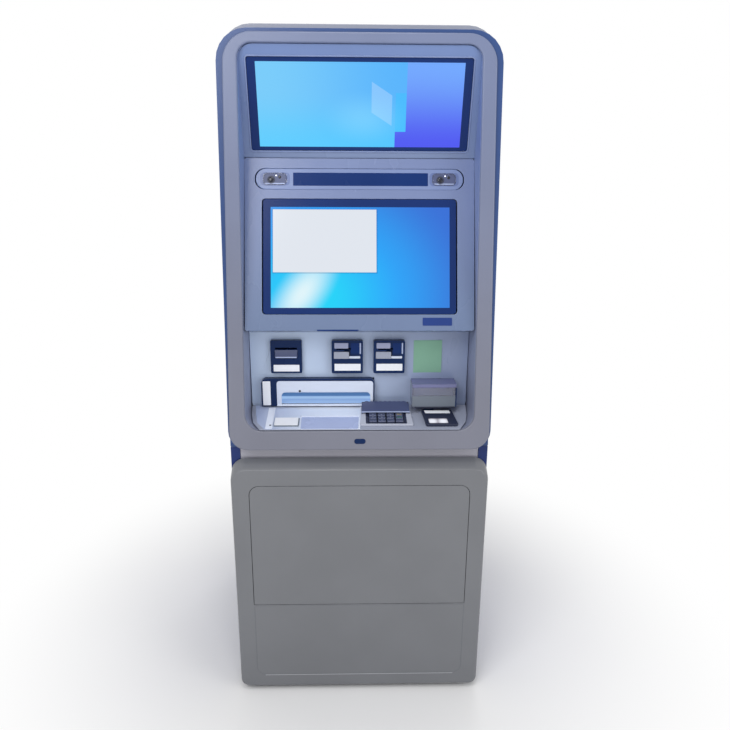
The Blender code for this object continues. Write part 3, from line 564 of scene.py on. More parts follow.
# Width of the rounding on each CAD solid's edges
EDGES = {
    "fascia_rim": 0.0018, "reader_wall": 0.0008, "upper_housing": 0.0008, "rear_door": 0.0012,
    "lower_shell": 0.0008, "neck_panel": 0.0008, "proximity_sensor": 0.0005, "plinth": 0.001,
    "safe_box": 0.0015, "safe_door": 0.0018, "bolt_bar": 0.0006, "safe_handle": 0.0008,
    "rear_handle": 0.0004, "lock_dial": 0.0006, "industrial_pc": 0.0008, "fan_rotor": 0.0002,
    "cassette_1": 0.0015, "cassette_2": 0.0015, "cassette_3": 0.0015, "cash_recycler": 0.0015,
    "paper_roll": 0.0006,
}
FOOT_EDGE = 0.0008
# Finishes that differ from the one named after the node's slot: the rim's and the neck's are lighter copies
# of their slots' paints, as painted light, and the reader wall's runs lighter to the left, as painted light
KEYS = {"fascia_rim": "rim_paint", "reader_wall": "wall_plastic", "neck_panel": "neck_paint"}


def rounded_solids():
    for node, edge in EDGES.items():
        softened(node, edge, KEYS.get(node))
    for node in NODES:
        if node.startswith("foot_"):
            softened(node, FOOT_EDGE, segments=2)


# ---------------- pictures, lights and small finishes


def screen_finish(name, paint, roughness=0.14):
    """A lit display: black glass that gives off the painted picture."""
    finish = Finish(name, roughness, Specular_IOR_Level=0.2)
    finish.set("Base Color", (0.002, 0.003, 0.006, 1.0))
    finish.shine(paint(finish), 1.0)
    finish.bump(finish.noise(700.0), 0.05, 0.00002)
    return finish.material


def box_mask(finish, x, v, low, high):
    """1 inside the rectangle between two corners, 0 outside."""
    inside = finish.math("GREATER_THAN", x, low[0])
    tests = (("LESS_THAN", x, high[0]), ("GREATER_THAN", v, low[1]), ("LESS_THAN", v, high[1]))
    for operation, value, limit in tests:
        inside = finish.times(inside, finish.math(operation, value, limit))
    return inside


def distance(finish, x, v, centre, squeeze=1.0):
    """How far a point is from the centre, with its height scaled by the squeeze."""
    across = finish.minus(x, centre[0])
    up = finish.times(finish.minus(v, centre[1]), squeeze)
    square = finish.math("ADD", finish.times(across, across), finish.times(up, up))
    return finish.math("SQRT", square)


def between(low, high):
    """Gives the point at a share across and a share up between two corners."""
    return lambda across, up: (low[0] + (high[0] - low[0]) * across, low[1] + (high[1] - low[1]) * up)


def advert_paint(low, high):
    """Sky blue on the left, a stepped border, violet blue on the right, and one pale slanted panel."""
    at = between(low, high)

    def paint(finish):
        x, v, _ = finish.axes()
        sky = finish.mix(finish.ramp(x, low[0], at(0.75, 0)[0]), rgb("76CAF8"), rgb("54B2FA"))
        foot = finish.ramp(v, low[1], at(0, 0.7)[1])
        above = finish.minus(1.0, foot)
        sky = finish.mix(finish.times(above, 0.65), sky, rgb("4CCCFE"))
        violet = finish.mix(finish.ramp(v, low[1], high[1]), rgb("4C56F0"), rgb("70A6FC"))
        upper, lower = at(0.725, 0.19), at(0.672, 0)
        band = box_mask(finish, x, v, (lower[0], upper[1]), at(0.725, 0.65))
        sky = finish.mix(finish.times(band, 0.55), sky, rgb("34BEFC"))
        above = finish.math("GREATER_THAN", v, upper[1])
        edge = finish.math("ADD", lower[0], finish.times(above, upper[0] - lower[0]))
        colour = finish.mix(finish.math("GREATER_THAN", x, edge), sky, violet)
        start, end = at(0.555, 0.42), at(0.655, 0.78)
        slanted = finish.math("ADD", v, finish.times(finish.minus(x, start[0]), 0.62))
        panel = box_mask(finish, x, slanted, start, end)
        colour = finish.mix(finish.times(panel, 0.35), colour, rgb("B8DCFF"))
        near = distance(finish, x, v, at(0.52, 0.35), 1.6)
        glow = finish.ramp(near, 0.12, 0.0, 0.0, 0.3)
        return finish.mix(glow, colour, rgb("9BE4FF"))
    return paint


def desktop_paint(low, high):
    """Blue that brightens to cyan at the lower left, and one plain pale window."""
    at = between(low, high)

    def paint(finish):
        x, v, _ = finish.axes()
        away = distance(finish, x, v, at(0.24, 0.1), 1.15)
        deep = finish.mix(finish.ramp(away, 0.17, 0.44), rgb("1EA4F8"), rgb("306CD4"))
        colour = finish.mix(finish.ramp(away, 0.02, 0.24), rgb("10D2F6"), deep)
        rise = finish.minus(v, low[1])
        slanted = finish.minus(x, finish.times(rise, 0.55))
        near = distance(finish, slanted, v, at(0.13, 0.14), 0.62)
        bloom = finish.ramp(near, 0.085, 0.0, 0.0, 0.92)
        colour = finish.mix(bloom, colour, rgb("E6F5F8"))
        shadow = box_mask(finish, x, v, at(0.008, 0.34), at(0.596, 0.978))
        colour = finish.mix(finish.times(shadow, 0.35), colour, rgb("123C78"))
        window = box_mask(finish, x, v, at(0.012, 0.352), at(0.59, 0.976))
        return finish.mix(window, colour, rgb("DFE4EC"))
    return paint


def lit(name, code, strength, spots=None):
    """A milky window lit from behind, brightest at its lamps."""
    finish = Finish(name, 0.3)
    finish.set("Base Color", blotched(finish, rgb("3A3D4A") if spots else rgb(code), 0.04, 60.0))
    colour = rgb(code)
    if spots:
        x, v, _ = finish.axes()
        near = finish.math("MINIMUM", *[distance(finish, x, v, spot) for spot in spots])
        colour = finish.mix(finish.ramp(near, 0.004, 0.02), rgb(code), rgb("8C8490"))
    finish.shine(colour, strength)
    finish.bump(finish.noise(500.0), 0.2, 0.00005)
    return finish.material


def clear(name, code, roughness, weight):
    """See-through plastic with fine scratches."""
    finish = Finish(name, roughness, Transmission_Weight=weight, IOR=1.46)
    finish.set("Base Color", blotched(finish, rgb(code), 0.03, 20.0))
    scratches = finish.noise(260.0, 4.0, (1, 0.05, 1))
    finish.set("Roughness", finish.ramp(scratches, 0.4, 0.8, roughness, roughness * 2.2))
    finish.bump(scratches, 0.08, 0.00003)
    return finish.material


CASH_FRONT = -UPRIGHT.span("cash_slot_frame")[1].z


def note_path(name):
    """The note path's lining with painted light: it glows, pale near the customer with a bright band, and
    runs to a deeper blue further in as painted shade.
    """
    finish = Finish(name, 0.28)
    depth = finish.axes()[1]
    pale = finish.ramp(depth, CASH_FRONT + 0.045, CASH_FRONT + 0.052)
    deep = finish.ramp(depth, CASH_FRONT + 0.066, CASH_FRONT + 0.075)
    colour = finish.mix(deep, finish.mix(pale, rgb("93AECF"), rgb("B2CDE6")), rgb("5F86B2"))
    finish.set("Base Color", colour)
    # painted light: the lining glows, though there is no lamp in it
    finish.shine(colour, 0.55)
    finish.bump(finish.noise(600.0), 0.2, 0.00005)
    return finish.material


FINISHES.update({
    # The tray runs darker towards its left end: painted shade.
    "tray_white": look(lit_plastic, "DDE6F6", "ACB9D8", (-0.28, -0.1), 0.2, "EEF2FC", 0),
    "hood_clear": look(clear, "D0D4E8", 0.08, 0.85),
    "pod_clear": look(clear, "C2CCE8", 0.06, 0.92),
    "throat_light": look(lit, "E4ECFF", 5.0),
    "pin_light": look(lit, "F4F6FF", 2.0),
    "throat_lit": note_path,
})


# ---------------- fascia: frame and displays


# How much narrower the frame is on each side at its head, its corner radii (foot, head), and its opening
FRAME_TAPER = 0.014
FRAME_RADII = (0.048, 0.07)
FRAME_THICKNESS = 0.0095
SIDE_BORDERS = (0.0425, 0.035)
FOOT_BORDER = 0.0525
HEAD_BORDER = 0.0257
OPENING_RADII = (0.045, 0.035)
WALL = 0.003


def taper(low_half, high_half, v, radii, grow=0.0):
    """A rounded outline whose half width changes from its foot to its head."""
    low, high = v[0] - grow, v[1] + grow
    sides = (low_half + grow, high_half + grow)
    corners = four((-sides[0], sides[0]), (low, high), (-sides[1], sides[1]))
    return rounded(corners, (radii[0] + grow, radii[0] + grow, radii[1] + grow, radii[1] + grow))


def front_frame():
    """The light ring that faces the customer, and the niche's walls behind it, in a bluer copy of the ring's
    plastic as painted light and shade.
    """
    low, high = FASCIA.span("front_frame")
    face = high.z
    outer = taper(high.x, high.x - FRAME_TAPER, (low.y, high.y), FRAME_RADII)
    halves = (high.x - SIDE_BORDERS[0], high.x - FRAME_TAPER - SIDE_BORDERS[1])
    v = (low.y + FOOT_BORDER, high.y - HEAD_BORDER)
    opening = taper(*halves, v, OPENING_RADII)
    around = taper(*halves, v, OPENING_RADII, WALL)
    ring = collar("frame_ring", outer, opening, (face - FRAME_THICKNESS, face), "light_plastic", FASCIA,
                  edge=0.0038, segments=5)
    collar("niche_walls", around, opening, (low.z, face - FRAME_THICKNESS + HAIR), "niche_plastic",
           FASCIA, slot="light_plastic", edge=0.0006, segments=2)
    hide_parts("front_frame")


def picture(name, paint, low, high, left, right, foot, head, panel):
    """The lit picture on a display's glass, inside the given borders."""
    x, v = (low.x + left, high.x - right), (low.y + foot, high.y - head)
    FINISHES[name] = look(screen_finish, paint((x[0], v[0]), (x[1], v[1])))
    slab(name, rectangle(x, v, 0.0008, steps=3), (high.z - 0.0005, high.z + HAIR), name, panel,
         slot="display_module", local=True)


# How far below its CAD place the advertising display sits
ADVERT_DROP = 0.0038


def wider(low, high, by, radius):
    """A rounded rectangle around a solid's span, larger by a margin on every side."""
    return rectangle((low.x - by, high.x + by), (low.y - by, high.y + by), radius)


def advert():
    """Advertising display: leaning panel, dark glass, a bright lip and the lit picture."""
    low, high = ADVERT.span("ad_panel")
    glass_low, glass_high = ADVERT.span("ad_display")
    glass_low.y -= ADVERT_DROP
    glass_high.y -= ADVERT_DROP
    gap = 0.0006
    hole = wider(glass_low, glass_high, gap, 0.006)
    outer = rectangle((low.x - 0.003, high.x + 0.003), (low.y - 0.004, high.y + 0.006), 0.004, 0.038)
    panel = collar("advert_panel", outer, hole, (low.z, high.z), "advert_plastic", ADVERT,
                   slot="light_plastic", edge=0.001)
    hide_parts("ad_panel")
    around = wider(glass_low, glass_high, 0.0042, 0.009)
    collar("advert_lip", around, hole, (high.z - gap, high.z + 0.0016), "pill_plastic", ADVERT,
           slot="light_plastic", edge=0.0007)
    outline = wider(glass_low, glass_high, 0.0, 0.0055)
    glass = slab("advert_glass", outline, (glass_low.z, glass_high.z), "display_module", ADVERT,
                 edge=0.0008)
    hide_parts("ad_display")
    picture("advert_picture", advert_paint, glass_low, glass_high, 0.0215, 0.02, 0.0095, 0.0105, ADVERT)


# How much wider the screen panel is than its CAD solid
PANEL_SPREAD = 1.008
UNDER_STRIP_X = (-0.112, -0.004)


def main_screen():
    """Main display in its leaning panel, with a bare name plate and a strip under the panel's edge."""
    panel = softened("screen_panel", 0.0015, "screen_plastic")
    for vertex in panel.data.vertices:
        vertex.co.x *= PANEL_SPREAD
    low, high = SCREEN.span("main_display")
    outline = wider(low, high, 0.0, 0.0085)
    glass = slab("main_glass", outline, (low.z, high.z), "display_module", SCREEN, edge=0.0009)
    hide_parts("main_display")
    picture("main_picture", desktop_paint, low, high, 0.02, 0.0172, 0.0165, 0.021, SCREEN)
    panel_low, panel_high = SCREEN.span("screen_panel")
    foot, face = panel_low.y, panel_high.z
    flat("name_plate", (high.x - 0.088, high.x - 0.011), (low.y - 0.03, low.y - 0.0095),
         (face - 0.0005, face + 0.001), "label_blue", "display_module", 0.002, 0.0004, SCREEN, ARC_STEPS)
    flat("under_strip", UNDER_STRIP_X, (foot - 0.001, foot + 0.0026), (face - 0.012, face + 0.0004),
         "strip_blue", "display_module", 0.001, panel=SCREEN, steps=4)


def dome(name, centre, radius, rise, key, panel, slot, rings=8, around=40):
    """A shallow lens on the panel's face."""
    loops = []
    for ring in range(rings):
        angle = math.pi / 2 * ring / rings
        outline = circle(*centre[:2], radius * math.cos(angle), around)
        loops.append((outline, centre[2] + rise * math.sin(angle)))
    return lofted(name, loops, key, panel, slot=slot)


# How much the bar's shell is larger than its CAD solid, and where its dark strip runs
BAR_GROW = 0.0009
BAR_STRIP_X = (-0.173, 0.178)


def camera_bar():
    """Rounded bar over the display, with a dark strip between its two pods."""
    low, high = SCREEN.span("camera_bar")
    radius = (high.y - low.y) / 2 - 0.0008
    face = high.z + 0.001
    bar = slab("camera_bar_shell", wider(low, high, BAR_GROW, radius + BAR_GROW), (low.z, face),
               "pill_plastic", SCREEN, slot="clear_plastic", edge=0.002)
    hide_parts("camera_bar")
    middle = (low.y + high.y) / 2
    flat("camera_strip", BAR_STRIP_X, (middle - 0.0172, middle + 0.0166), (face - 0.001, face + 0.0006),
         "strip_blue", "dark_bezel", 0.0015, 0.0004, SCREEN, ARC_STEPS)
    for name in ("camera_left", "camera_right"):
        camera_pod(name, face)


def camera_pod(name, face):
    """A recessed plate with a dark pod, a lens in its barrel, a sensor, a small lamp and a clear rim."""
    low, high = SCREEN.span(name)
    centre = (low + high) / 2
    flat(name + "_plate", (centre.x - 0.0385, centre.x + 0.0385), (low.y - 0.0012, high.y + 0.0012),
         (face - 0.0006, face + 0.0003), "pod_plastic", "clear_plastic", 0.01, panel=SCREEN, steps=ARC_STEPS)
    outline = wider(low, high, 0.0, 0.011)
    pod = slab(name + "_pod", outline, (low.z, face + 0.0005), "slate_plastic", SCREEN,
               slot="display_module", edge=0.0008)
    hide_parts(name)
    lens = (centre.x - 0.01, centre.y - 0.002)
    collar(name + "_barrel", circle(*lens, 0.01), circle(*lens, 0.0066), (face - 0.0006, face + 0.0018),
           "black_plastic", SCREEN, slot="display_module", edge=0.0003)
    dome(name + "_lens", (*lens, face + 0.0004), 0.0064, 0.0014, "lens_glass", SCREEN, "display_module")
    dome(name + "_sensor", (centre.x + 0.012, centre.y + 0.005, face + 0.0004), 0.0042, 0.001,
         "lens_glass", SCREEN, "display_module")
    dome(name + "_lamp", (centre.x + 0.003, centre.y + 0.009, face + 0.0004), 0.0016, 0.0008,
         "pin_light", SCREEN, "display_module", 4, 16)
    flat(name + "_bridge", (centre.x - 0.026, centre.x + 0.026), (centre.y - 0.0132, centre.y - 0.0105),
         (face - 0.0004, face + 0.0008), "lip_plastic", "display_module", 0.001, panel=SCREEN, steps=3)
    within = wider(low, high, -0.0022, 0.009)
    collar(name + "_rim", outline, within, (face - 0.0002, face + 0.0016), "pod_clear", SCREEN,
           slot="clear_plastic", edge=0.0006)


# ---------------- reader wall: printer, readers, note, cash slot


def printer():
    """Receipt printer: a wedge that slopes back above its throat, a pale lip, and a bare label."""
    softened("receipt_printer", 0.0012, "dark_bezel")
    low, high = UPRIGHT.span("receipt_printer")
    middle, z, face = (low.x + high.x) / 2, low.y, high.z
    x, v, seat = (middle - 0.031, middle + 0.031), (z + 0.046, z + 0.0662), face - HAIR
    foot = rectangle(x, v, 0.0012, steps=4)
    sloped = (v[0] + 0.0015 * 0.6, v[0] + (v[1] - v[0]) * 0.45)
    top = rectangle((x[0] + 0.0015, x[1] - 0.0015), sloped, 0.001, steps=4)
    loops = [(foot, seat), (foot, seat + 0.006 * 0.25), (top, seat + 0.006)]
    lofted("printer_wedge", loops, "slate_plastic", slot="dark_bezel", edge=0.0004)
    flat("printer_lip", (middle - 0.029, middle + 0.029), (z + 0.0452, z + 0.0486), (face, face + 0.0066),
         "lip_plastic", "dark_bezel", 0.0008, 0.0006)
    flat("printer_label", (middle - 0.0355, middle + 0.0355), (z + 0.005, z + 0.024),
         (face - HAIR, face + 0.0004), "label_white", "dark_bezel", edge=0.0001)


# Name, x from the bezel's left side, z from its foot, height over its face, finish, corners, edges
READER_PLATES = (
    ("upper", (0.0079, 0.0458), (0.0712, 0.0868), 0.0012, "reader_plate", 0.0016, 0.0005),
    ("lower", (0.0063, 0.048), (0.0425, 0.0622), 0.003, "mount_grey", 0.0018, 0.0009),
    ("recess", (0.0529, 0.0766), (0.057, 0.0868), 0.0006, "strip_blue", 0.002, 0.0002),
    ("rim", (0.0768, 0.0806), (0.056, 0.087), 0.002, "lip_plastic", 0.001, 0.0006),
    ("lip", (0.0484, 0.0785), (0.0432, 0.0497), 0.0028, "mouth_lilac", 0.001, 0.0008),
    ("label", (0.0079, 0.0797), (0.0078, 0.0275), 0.0004, "label_white", 0.0008, 0.0001),
)


def reader(node):
    """Card reader: pale plates beside the slot, a dark finger recess, and a bare label below."""
    softened(node, 0.0012, "dark_bezel")
    low, high = UPRIGHT.span(node)
    for name, x, z, rise, key, radius, edge in READER_PLATES:
        flat(f"{node}_{name}", (low.x + x[0], low.x + x[1]), (low.y + z[0], low.y + z[1]),
             (high.z - HAIR, high.z + rise), key, "dark_bezel", radius, edge)


NOTE_STEPS = 16
CASH_WALL = 0.0028


def note():
    """Plain green paper on the wall, its right edge curling away a little."""
    _, wall = UPRIGHT.span("reader_wall")
    low, high = UPRIGHT.span("card_reader_right")
    face = wall.z + HAIR
    left, right = high.x + 0.0254, high.x + 0.1034
    rows = []
    for step in range(NOTE_STEPS + 1):
        along = step / NOTE_STEPS
        x = left + (right - left) * along
        n = face + 0.005 * max(0.0, along - 0.45) ** 2
        foot, top = low.y - 0.003 + 0.0012 * along, high.y - 0.003 + 0.0008 * along
        rows.append(((x, foot, n), (x, top, n), (x, top, n + 0.0002), (x, foot, n + 0.0002)))
    skinned("green_note", rows, "note_green", slot="paper")


def cash_slot():
    """Dark bezel around the note path, a pale mouth in front of the shutter, a lip and a bare plate."""
    low, high = UPRIGHT.span("cash_slot_frame")
    gate_low, gate_high = UPRIGHT.span("cash_shutter")
    face, back = high.z, low.z
    x = (gate_low.x - 0.001, gate_high.x + 0.001)
    v = (low.y + 0.0037, gate_high.y + 0.001)

    def inside(gap, foot_radius, head_radius):
        """The note path's outline, smaller by the gap."""
        return rectangle((x[0] + gap, x[1] - gap), (v[0] + gap, v[1] - gap), foot_radius, head_radius)

    outer = rectangle((low.x, high.x), (low.y, high.y), 0.002, 0.014)
    inner = inside(0.0, 0.003, 0.008)
    outside = inside(-CASH_WALL, 0.003 + CASH_WALL, 0.008 + CASH_WALL)
    seat = face - 0.0195
    loops = [(outer, face), (inner, face), (inner, back), (outside, back), (outside, seat), (outer, seat)]
    bezel = lofted("cash_bezel", loops, "dark_bezel", ring=True, edge=0.001)
    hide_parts("cash_slot_frame")
    around = inside(0.0002, 0.003, 0.008)
    within = inside(0.001, 0.002, 0.007)
    # The lining glows and deepens in blue further in: painted light and shade.
    collar("throat_lining", around, within, (back + 0.0045, face - 0.0125), "throat_lit",
           slot="display_module")
    mouth_gap = rectangle((x[0] + 0.013, x[1] - 0.008), (v[0] + 0.0008, v[0] + 0.0373), 0.002, 0.013)
    collar("cash_mouth", around, mouth_gap, (face - 0.0062, face - 0.0006), "mouth_lilac",
           slot="white_plastic", edge=0.0016, segments=4)
    softened("cash_shutter", 0.001, "white_plastic")
    flat("cash_lip", x, (low.y + 0.0002, low.y + 0.0048), (face - 0.007, face + 0.002), "white_plastic",
         "white_plastic", 0.0012, 0.0008)
    flat("cash_plate", (low.x + 0.004, low.x + 0.0255), (low.y + 0.0027, high.y - 0.0065),
         (face - HAIR, face + 0.0008), "label_white", "white_plastic", 0.0012, 0.0003)
    dome("cash_sensor", (x[0] + 0.064, v[0] + 0.04, face - 0.0008), 0.0034, 0.001, "lens_glass", UPRIGHT,
         "display_module", 5, 20)


# ---------------- deck: tray, keypad, scanner, document hood


def deck_origin():
    """Where the deck's own numbers start: its near edge, and its top face."""
    low, high = DECK.span("deck")
    return low.y + 0.006, high.z


def on_deck(outline):
    """The outline moved from the deck's own numbers to the panel's."""
    start, _ = deck_origin()
    return [Vector((point[0], point[1] + start)) for point in outline]


def corner_slab(name, corners, n, key, radius=0.002, slot="white_plastic", edge=0.0004):
    """A slab on the deck through rounded corners."""
    _, top = deck_origin()
    outline = on_deck(rounded(corners, [radius] * len(corners), 5))
    slab(name, outline, (top + n[0], top + n[1]), key, DECK, slot=slot, edge=edge)


# Name, corners, heights over the deck, finish, corner radius, edges
TRAY_PIECES = (
    ("tray_field", ((-0.254, -0.0045), (0.000, -0.0045), (0.006, 0.1205), (-0.291, 0.1205), (-0.284, 0.07),
                    (-0.276, 0.03)), (-0.0005, 0.0006), "tray_white", 0.002, 0.0004),
    ("tray_border", four((-0.0035, 0.0005), (-0.0045, 0.1205), (0.0025, 0.0065)),
     (-0.0005, 0.0036), "white_plastic", 0.001, 0.001),
    ("tray_lower", four((-0.158, -0.005), (-0.004, 0.056), (-0.158, -0.0022)),
     (0.0, 0.0009), "tray_lilac", 0.003, 0.0002),
    ("tray_ridge", four((-0.16, -0.0022), (0.0572, 0.0602), (-0.16, -0.002)),
     (0.0, 0.0034), "white_plastic", 0.0012, 0.001),
    ("side_strip", four((-0.252, -0.233), (-0.002, 0.105)), (0.0, 0.0022), "white_plastic", 0.003, 0.0006),
)
PLACARD_PIECES = (
    # A darker base that reaches past the placard to the right and below: a painted shadow.
    ("placard_shadow", four((-0.23, -0.163), (0.0085, 0.049)), (0.0, 0.0032), "tray_grey", 0.002, 0.0008),
    ("placard", four((-0.229, -0.166), (0.0105, 0.048)), (0.003, 0.0048), "label_white", 0.002, 0.0005),
)


def tray():
    """The deck's left half: a glossy tray with a border, a lower pale area, a placard on a darker base as its
    painted shadow, and a side strip.
    """
    softened("deck", 0.0006, "mount_grey")
    start, top = deck_origin()
    for name, corners, n, key, radius, edge in TRAY_PIECES:
        corner_slab(name, corners, n, key, radius, edge=edge)
    dome("side_dot", (-0.2395, start + 0.013, top + 0.002), 0.0032, 0.001, "lens_glass", DECK,
         "white_plastic", 4, 24)
    for name, corners, n, key, radius, edge in PLACARD_PIECES:
        corner_slab(name, corners, n, key, radius, edge=edge)


def keypad():
    """Dark base with a pale raised surround, and a scalloped hood over the shield."""
    softened("keypad_body", 0.0006, "black_plastic")
    low, high = DECK.span("keypad_body")
    start, top = deck_origin()
    left, right = low.x, high.x
    near = low.y - start
    sides = four((left - 0.006, right + 0.007), (near - 0.0035, near + 0.0895), (left + 0.001, right + 0.001))
    outer = rounded(sides, (0.004, 0.004, 0.003, 0.003), 8)
    hole = rectangle((left + 0.0105, right - 0.0105), (near + 0.0006, near + 0.0665), 0.003, 0.002, steps=8)
    collar("keypad_surround", on_deck(outer), on_deck(hole), (top + 0.0003, top + 0.0066), "surround_grey",
           DECK, slot="black_plastic", edge=0.0012, segments=4)
    hood(left, right, near)


# The hood's foot and brow, as (distance from the keypad's near side, height over the deck)
HOOD_FOOT = (0.0505, 0.0118)
HOOD_BROW = (0.0902, 0.0213)
HOOD_CHEEK = 0.0022
HOOD_CUT = 0.0115
SCALLOPS = 9
SCALLOP_HEIGHT = 0.0024
SCALLOP_STEPS = 8


def hood(left, right, near):
    """A sloping plate over the keys with a scalloped far edge, a cheek at each side, and a pale near lip."""
    start, top = deck_origin()
    foot, brow = (near + HOOD_FOOT[0], HOOD_FOOT[1]), (near + HOOD_BROW[0], HOOD_BROW[1])
    slope = math.degrees(math.atan2(brow[1] - foot[1], brow[0] - foot[0]))
    face = Panel(DECK_LEAN - slope)
    corner = face.turn.transposed() @ (DECK.turn @ Vector((0, start + foot[0], top + foot[1])))
    reach = math.hypot(brow[0] - foot[0], brow[1] - foot[1])
    inset = HOOD_CUT * 0.7
    outline = [(left, 0.0), (right, 0.0), (right, reach - HOOD_CUT), (right - inset, reach)]
    span = (right - inset) - (left + inset)
    count = SCALLOPS * SCALLOP_STEPS
    for step in range(1, count):
        along = step / count
        bump = SCALLOP_HEIGHT * abs(math.sin(math.pi * SCALLOPS * along))
        outline.append((right - inset - span * along, reach + bump))
    outline += [(left + inset, reach), (left, reach - HOOD_CUT)]
    points = [Vector((x, corner.y + v)) for x, v in outline]
    slab("keypad_hood", points, (corner.z + 0.0001, corner.z + 0.0016), "slate_plastic", face,
         slot="black_plastic", edge=0.0005, segments=2)
    side = ((foot[0], 0.0062), (brow[0], 0.0062), brow, foot)
    for name, x in (("left", left), ("right", right - HOOD_CHEEK)):
        rows = [[(edge, start + s, top + n) for s, n in side] for edge in (x, x + HOOD_CHEEK)]
        skinned(f"keypad_cheek_{name}", rows, "slate_plastic", DECK, slot="black_plastic", edge=0.0004)
    flat("keypad_hood_lip", (left - 0.0003, right + 0.0003), (corner.y - 0.0012, corner.y + 0.0012),
         (corner.z - 0.0006, corner.z + 0.0026), "lip_plastic", "black_plastic", 0.0008, 0.0004, face, 4)


def number(name, text, body, centre):
    """One raised number on a key, its middle at the given place."""
    curve = bpy.data.curves.new(name, "FONT")
    adjust(curve, body=text, size=NUMBER_SIZE, extrude=0.0001, resolution_u=3, align_x="CENTER",
           align_y="CENTER")
    helper = new_object(name + "_curve", curve)
    bpy.context.view_layer.update()
    mesh = bpy.data.meshes.new_from_object(helper.evaluated_get(bpy.context.evaluated_depsgraph_get()))
    mesh.name = name
    bpy.data.objects.remove(helper, do_unlink=True)
    bpy.data.curves.remove(curve)
    mesh.transform(Matrix.Translation(centre))
    piece(name, mesh, "key_print", body, slot="key_metal", matrix=DECK.matrix())


NUMBER_SIZE = 0.0078
COLOURED_KEYS = {"cancel": "key_red", "correct": "key_yellow", "enter": "key_green"}


def keys():
    """Metal keys with generic numbers, and coloured bars on the three work keys."""
    for node in [name for name in NODES if name.startswith("key_")]:
        softened(node, 0.0004, "key_metal", segments=2)
        low, high = DECK.span(node)
        middle = (low + high) / 2
        label = node[4:]
        if label.isdigit():
            number(node + "_number", label, BODY_OF[node], (middle.x, middle.y, high.z))
        elif label in COLOURED_KEYS:
            flat(node + "_bar", (middle.x - 0.007, middle.x + 0.007), (middle.y - 0.0012, middle.y + 0.0012),
                 (high.z - 0.0001, high.z + 0.0002), COLOURED_KEYS[label], "key_metal", 0.0006, 0.0, DECK, 3,
                 body=BODY_OF[node])


def scanner():
    """Low dark block, a little out of square, with a glowing window and a plain white strip."""
    low, high = DECK.span("code_scanner")
    start, top = deck_origin()
    rise = high.z - top
    s = (low.y - start, high.y - start)
    outline = four((low.x + 0.0057, high.x + 0.0022), s, (low.x - 0.0012, high.x - 0.008))
    window = four((low.x + 0.015, low.x + 0.066), (s[0] + 0.0062, s[0] + 0.031),
                  (low.x + 0.0135, low.x + 0.064))
    outer = on_deck(rounded(outline, [0.006] * 4, 8))
    inner = on_deck(rounded(window, [0.003] * 4, 8))
    block = collar("scanner_block", outer, inner, (top + 0.0003, top + rise), "black_plastic", DECK,
                   slot="dark_bezel", edge=0.001, segments=4)
    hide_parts("code_scanner")
    spots = [(low.x + 0.024, start + s[0] + 0.018), (low.x + 0.053, start + s[0] + 0.018)]
    FINISHES["scan_window"] = look(lit, "F2F4FC", 0.9, spots)
    slab("scanner_window", inner, (top + 0.0004, top + rise - 0.0016), "scan_window", DECK,
         slot="clear_plastic", local=True)
    strip = four((low.x + 0.008, high.x - 0.013), (s[1] - 0.0195, s[1] - 0.005),
                 (low.x + 0.006, high.x - 0.015))
    corner_slab("scanner_strip", strip, (rise - 0.0001, rise + 0.0004), "label_white", 0.0012, "dark_bezel",
                0.0002)
    tab = four((low.x + 0.006, low.x + 0.034), (s[1] + 0.001, s[1] + 0.011),
               (low.x + 0.0065, low.x + 0.0335))
    corner_slab("scanner_tab", tab, (-0.0004, 0.004), "dark_bezel", 0.0012, "dark_bezel", 0.0006)


def document_rest():
    """Hood over the document rest: lilac brow, clear front, grey tray below with dark edges."""
    softened("document_hood", 0.001, "hood_clear")
    low, high = UPRIGHT.span("document_hood")
    face, back = high.z, UPRIGHT.span("reader_wall")[1].z
    inner = (low.x + 0.0042, high.x - 0.0042)
    plates = (
        ("window", inner, (low.y + 0.0325, high.y - 0.0102), (face - 0.004, face - 0.0016), "hood_clear",
         0.001, 0.0004),
        ("tray", (low.x + 0.0006, high.x - 0.0006), (low.y + 0.0022, low.y + 0.0325),
         (face - 0.01, face + 0.0012), "tray_grey", 0.0016, 0.0009),
        ("top", (low.x + 0.0004, high.x - 0.0004), (high.y - 0.001, high.y + 0.0003),
         (low.z + 0.001, face - 0.0006), "hood_lilac", 0.0004, 0.0003),
        ("brow", (low.x + 0.0008, high.x - 0.0008), (high.y - 0.0094, high.y - 0.0004),
         (face - 0.003, face + 0.0006), "hood_lilac", 0.0016, 0.0006),
        ("foot", (low.x - 0.0004, high.x + 0.0004), (low.y - 0.0002, low.y + 0.0022),
         (face - 0.012, face + 0.0016), "black_plastic", 0.0006, 0.0003),
        ("side", (high.x - 0.003, high.x + 0.0006), (low.y, high.y - 0.01),
         (face - 0.05, face + 0.0014), "dark_bezel", 0.001, 0.0005),
        ("back", inner, (low.y + 0.004, high.y - 0.0104), (back + 0.0105, back + 0.012), "lip_plastic",
         0.0006, 0.0002),
    )
    for name, x, z, n, key, radius, edge in plates:
        flat(f"document_{name}", x, z, n, key, "clear_plastic", radius, edge)


# ---------------- fascia light and lower door


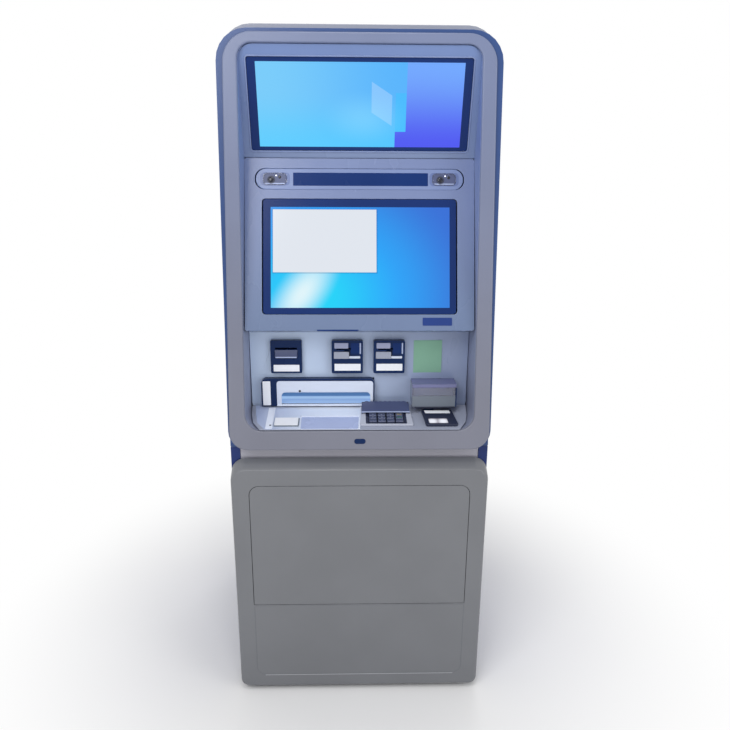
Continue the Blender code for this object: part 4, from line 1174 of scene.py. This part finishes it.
def task_light():
    """Light strip under the screen panel, which shines down on the wall and the deck."""
    low, high = UPRIGHT.span("screen_panel")
    wall = UPRIGHT.span("reader_wall")[1].z
    n = (wall + 0.004, wall + 0.026)
    flat("task_light_case", (low.x + 0.03, high.x - 0.03), (low.y + 0.0125, low.y + 0.019),
         (n[0] - 0.003, n[1] + 0.003), "lip_plastic", "light_plastic", 0.001, 0.0005)
    flat("task_light", (low.x + 0.034, high.x - 0.034), (low.y + 0.0112, low.y + 0.0127), n, "throat_light",
         "light_plastic", 0.0006, 0.0002)


# How far the door's faces are set back, and the inset's groove, border and corners
DOOR_STEP = 0.0006
GROOVE = 0.002
INSET_BORDER = 0.043
INSET_RADIUS = 0.026


def door_lines():
    """Door faces set back a hair, the groove of the lower inset, and the light its bottom edge catches."""
    for node, edge in (("door_cover", 0.0004), ("lock_flap", 0.0007)):
        made = softened(node, edge)
        front = min(vertex.co.y for vertex in made.data.vertices)
        for vertex in made.data.vertices:
            vertex.co.y = max(vertex.co.y, front + DOOR_STEP)
    flap_low, flap_high = UPRIGHT.span("lock_flap")
    cover_low, cover_high = UPRIGHT.span("door_cover")
    face = cover_high.z
    x = (flap_low.x - 0.001, flap_high.x + 0.001)
    v = (cover_low.y + INSET_BORDER, flap_low.y - 0.0035)
    outer = rectangle(x, v, INSET_RADIUS, 0.004)
    inner = rectangle((x[0] + GROOVE, x[1] - GROOVE), (v[0] + GROOVE, v[1] - 0.0014), INSET_RADIUS - GROOVE,
                      0.0026)
    collar("inset_line", outer, inner, (face - 0.0012, face - 0.0003), "groove_grey",
           body="lower_door", slot="grey_paint", edge=0.0002)
    flat("inset_edge", (x[0] + 0.024, x[1] - 0.024), (v[0] - 0.0024, v[0] - 0.0004),
         (face - 0.0012, face - 0.0001), "edge_grey", "grey_paint", body="lower_door")


# ---------------- all together


stage()
rounded_solids()
front_frame()
advert()
main_screen()
camera_bar()
printer()
reader("card_reader_left")
reader("card_reader_right")
note()
cash_slot()
tray()
keypad()
keys()
scanner()
document_rest()
task_light()
door_lines()
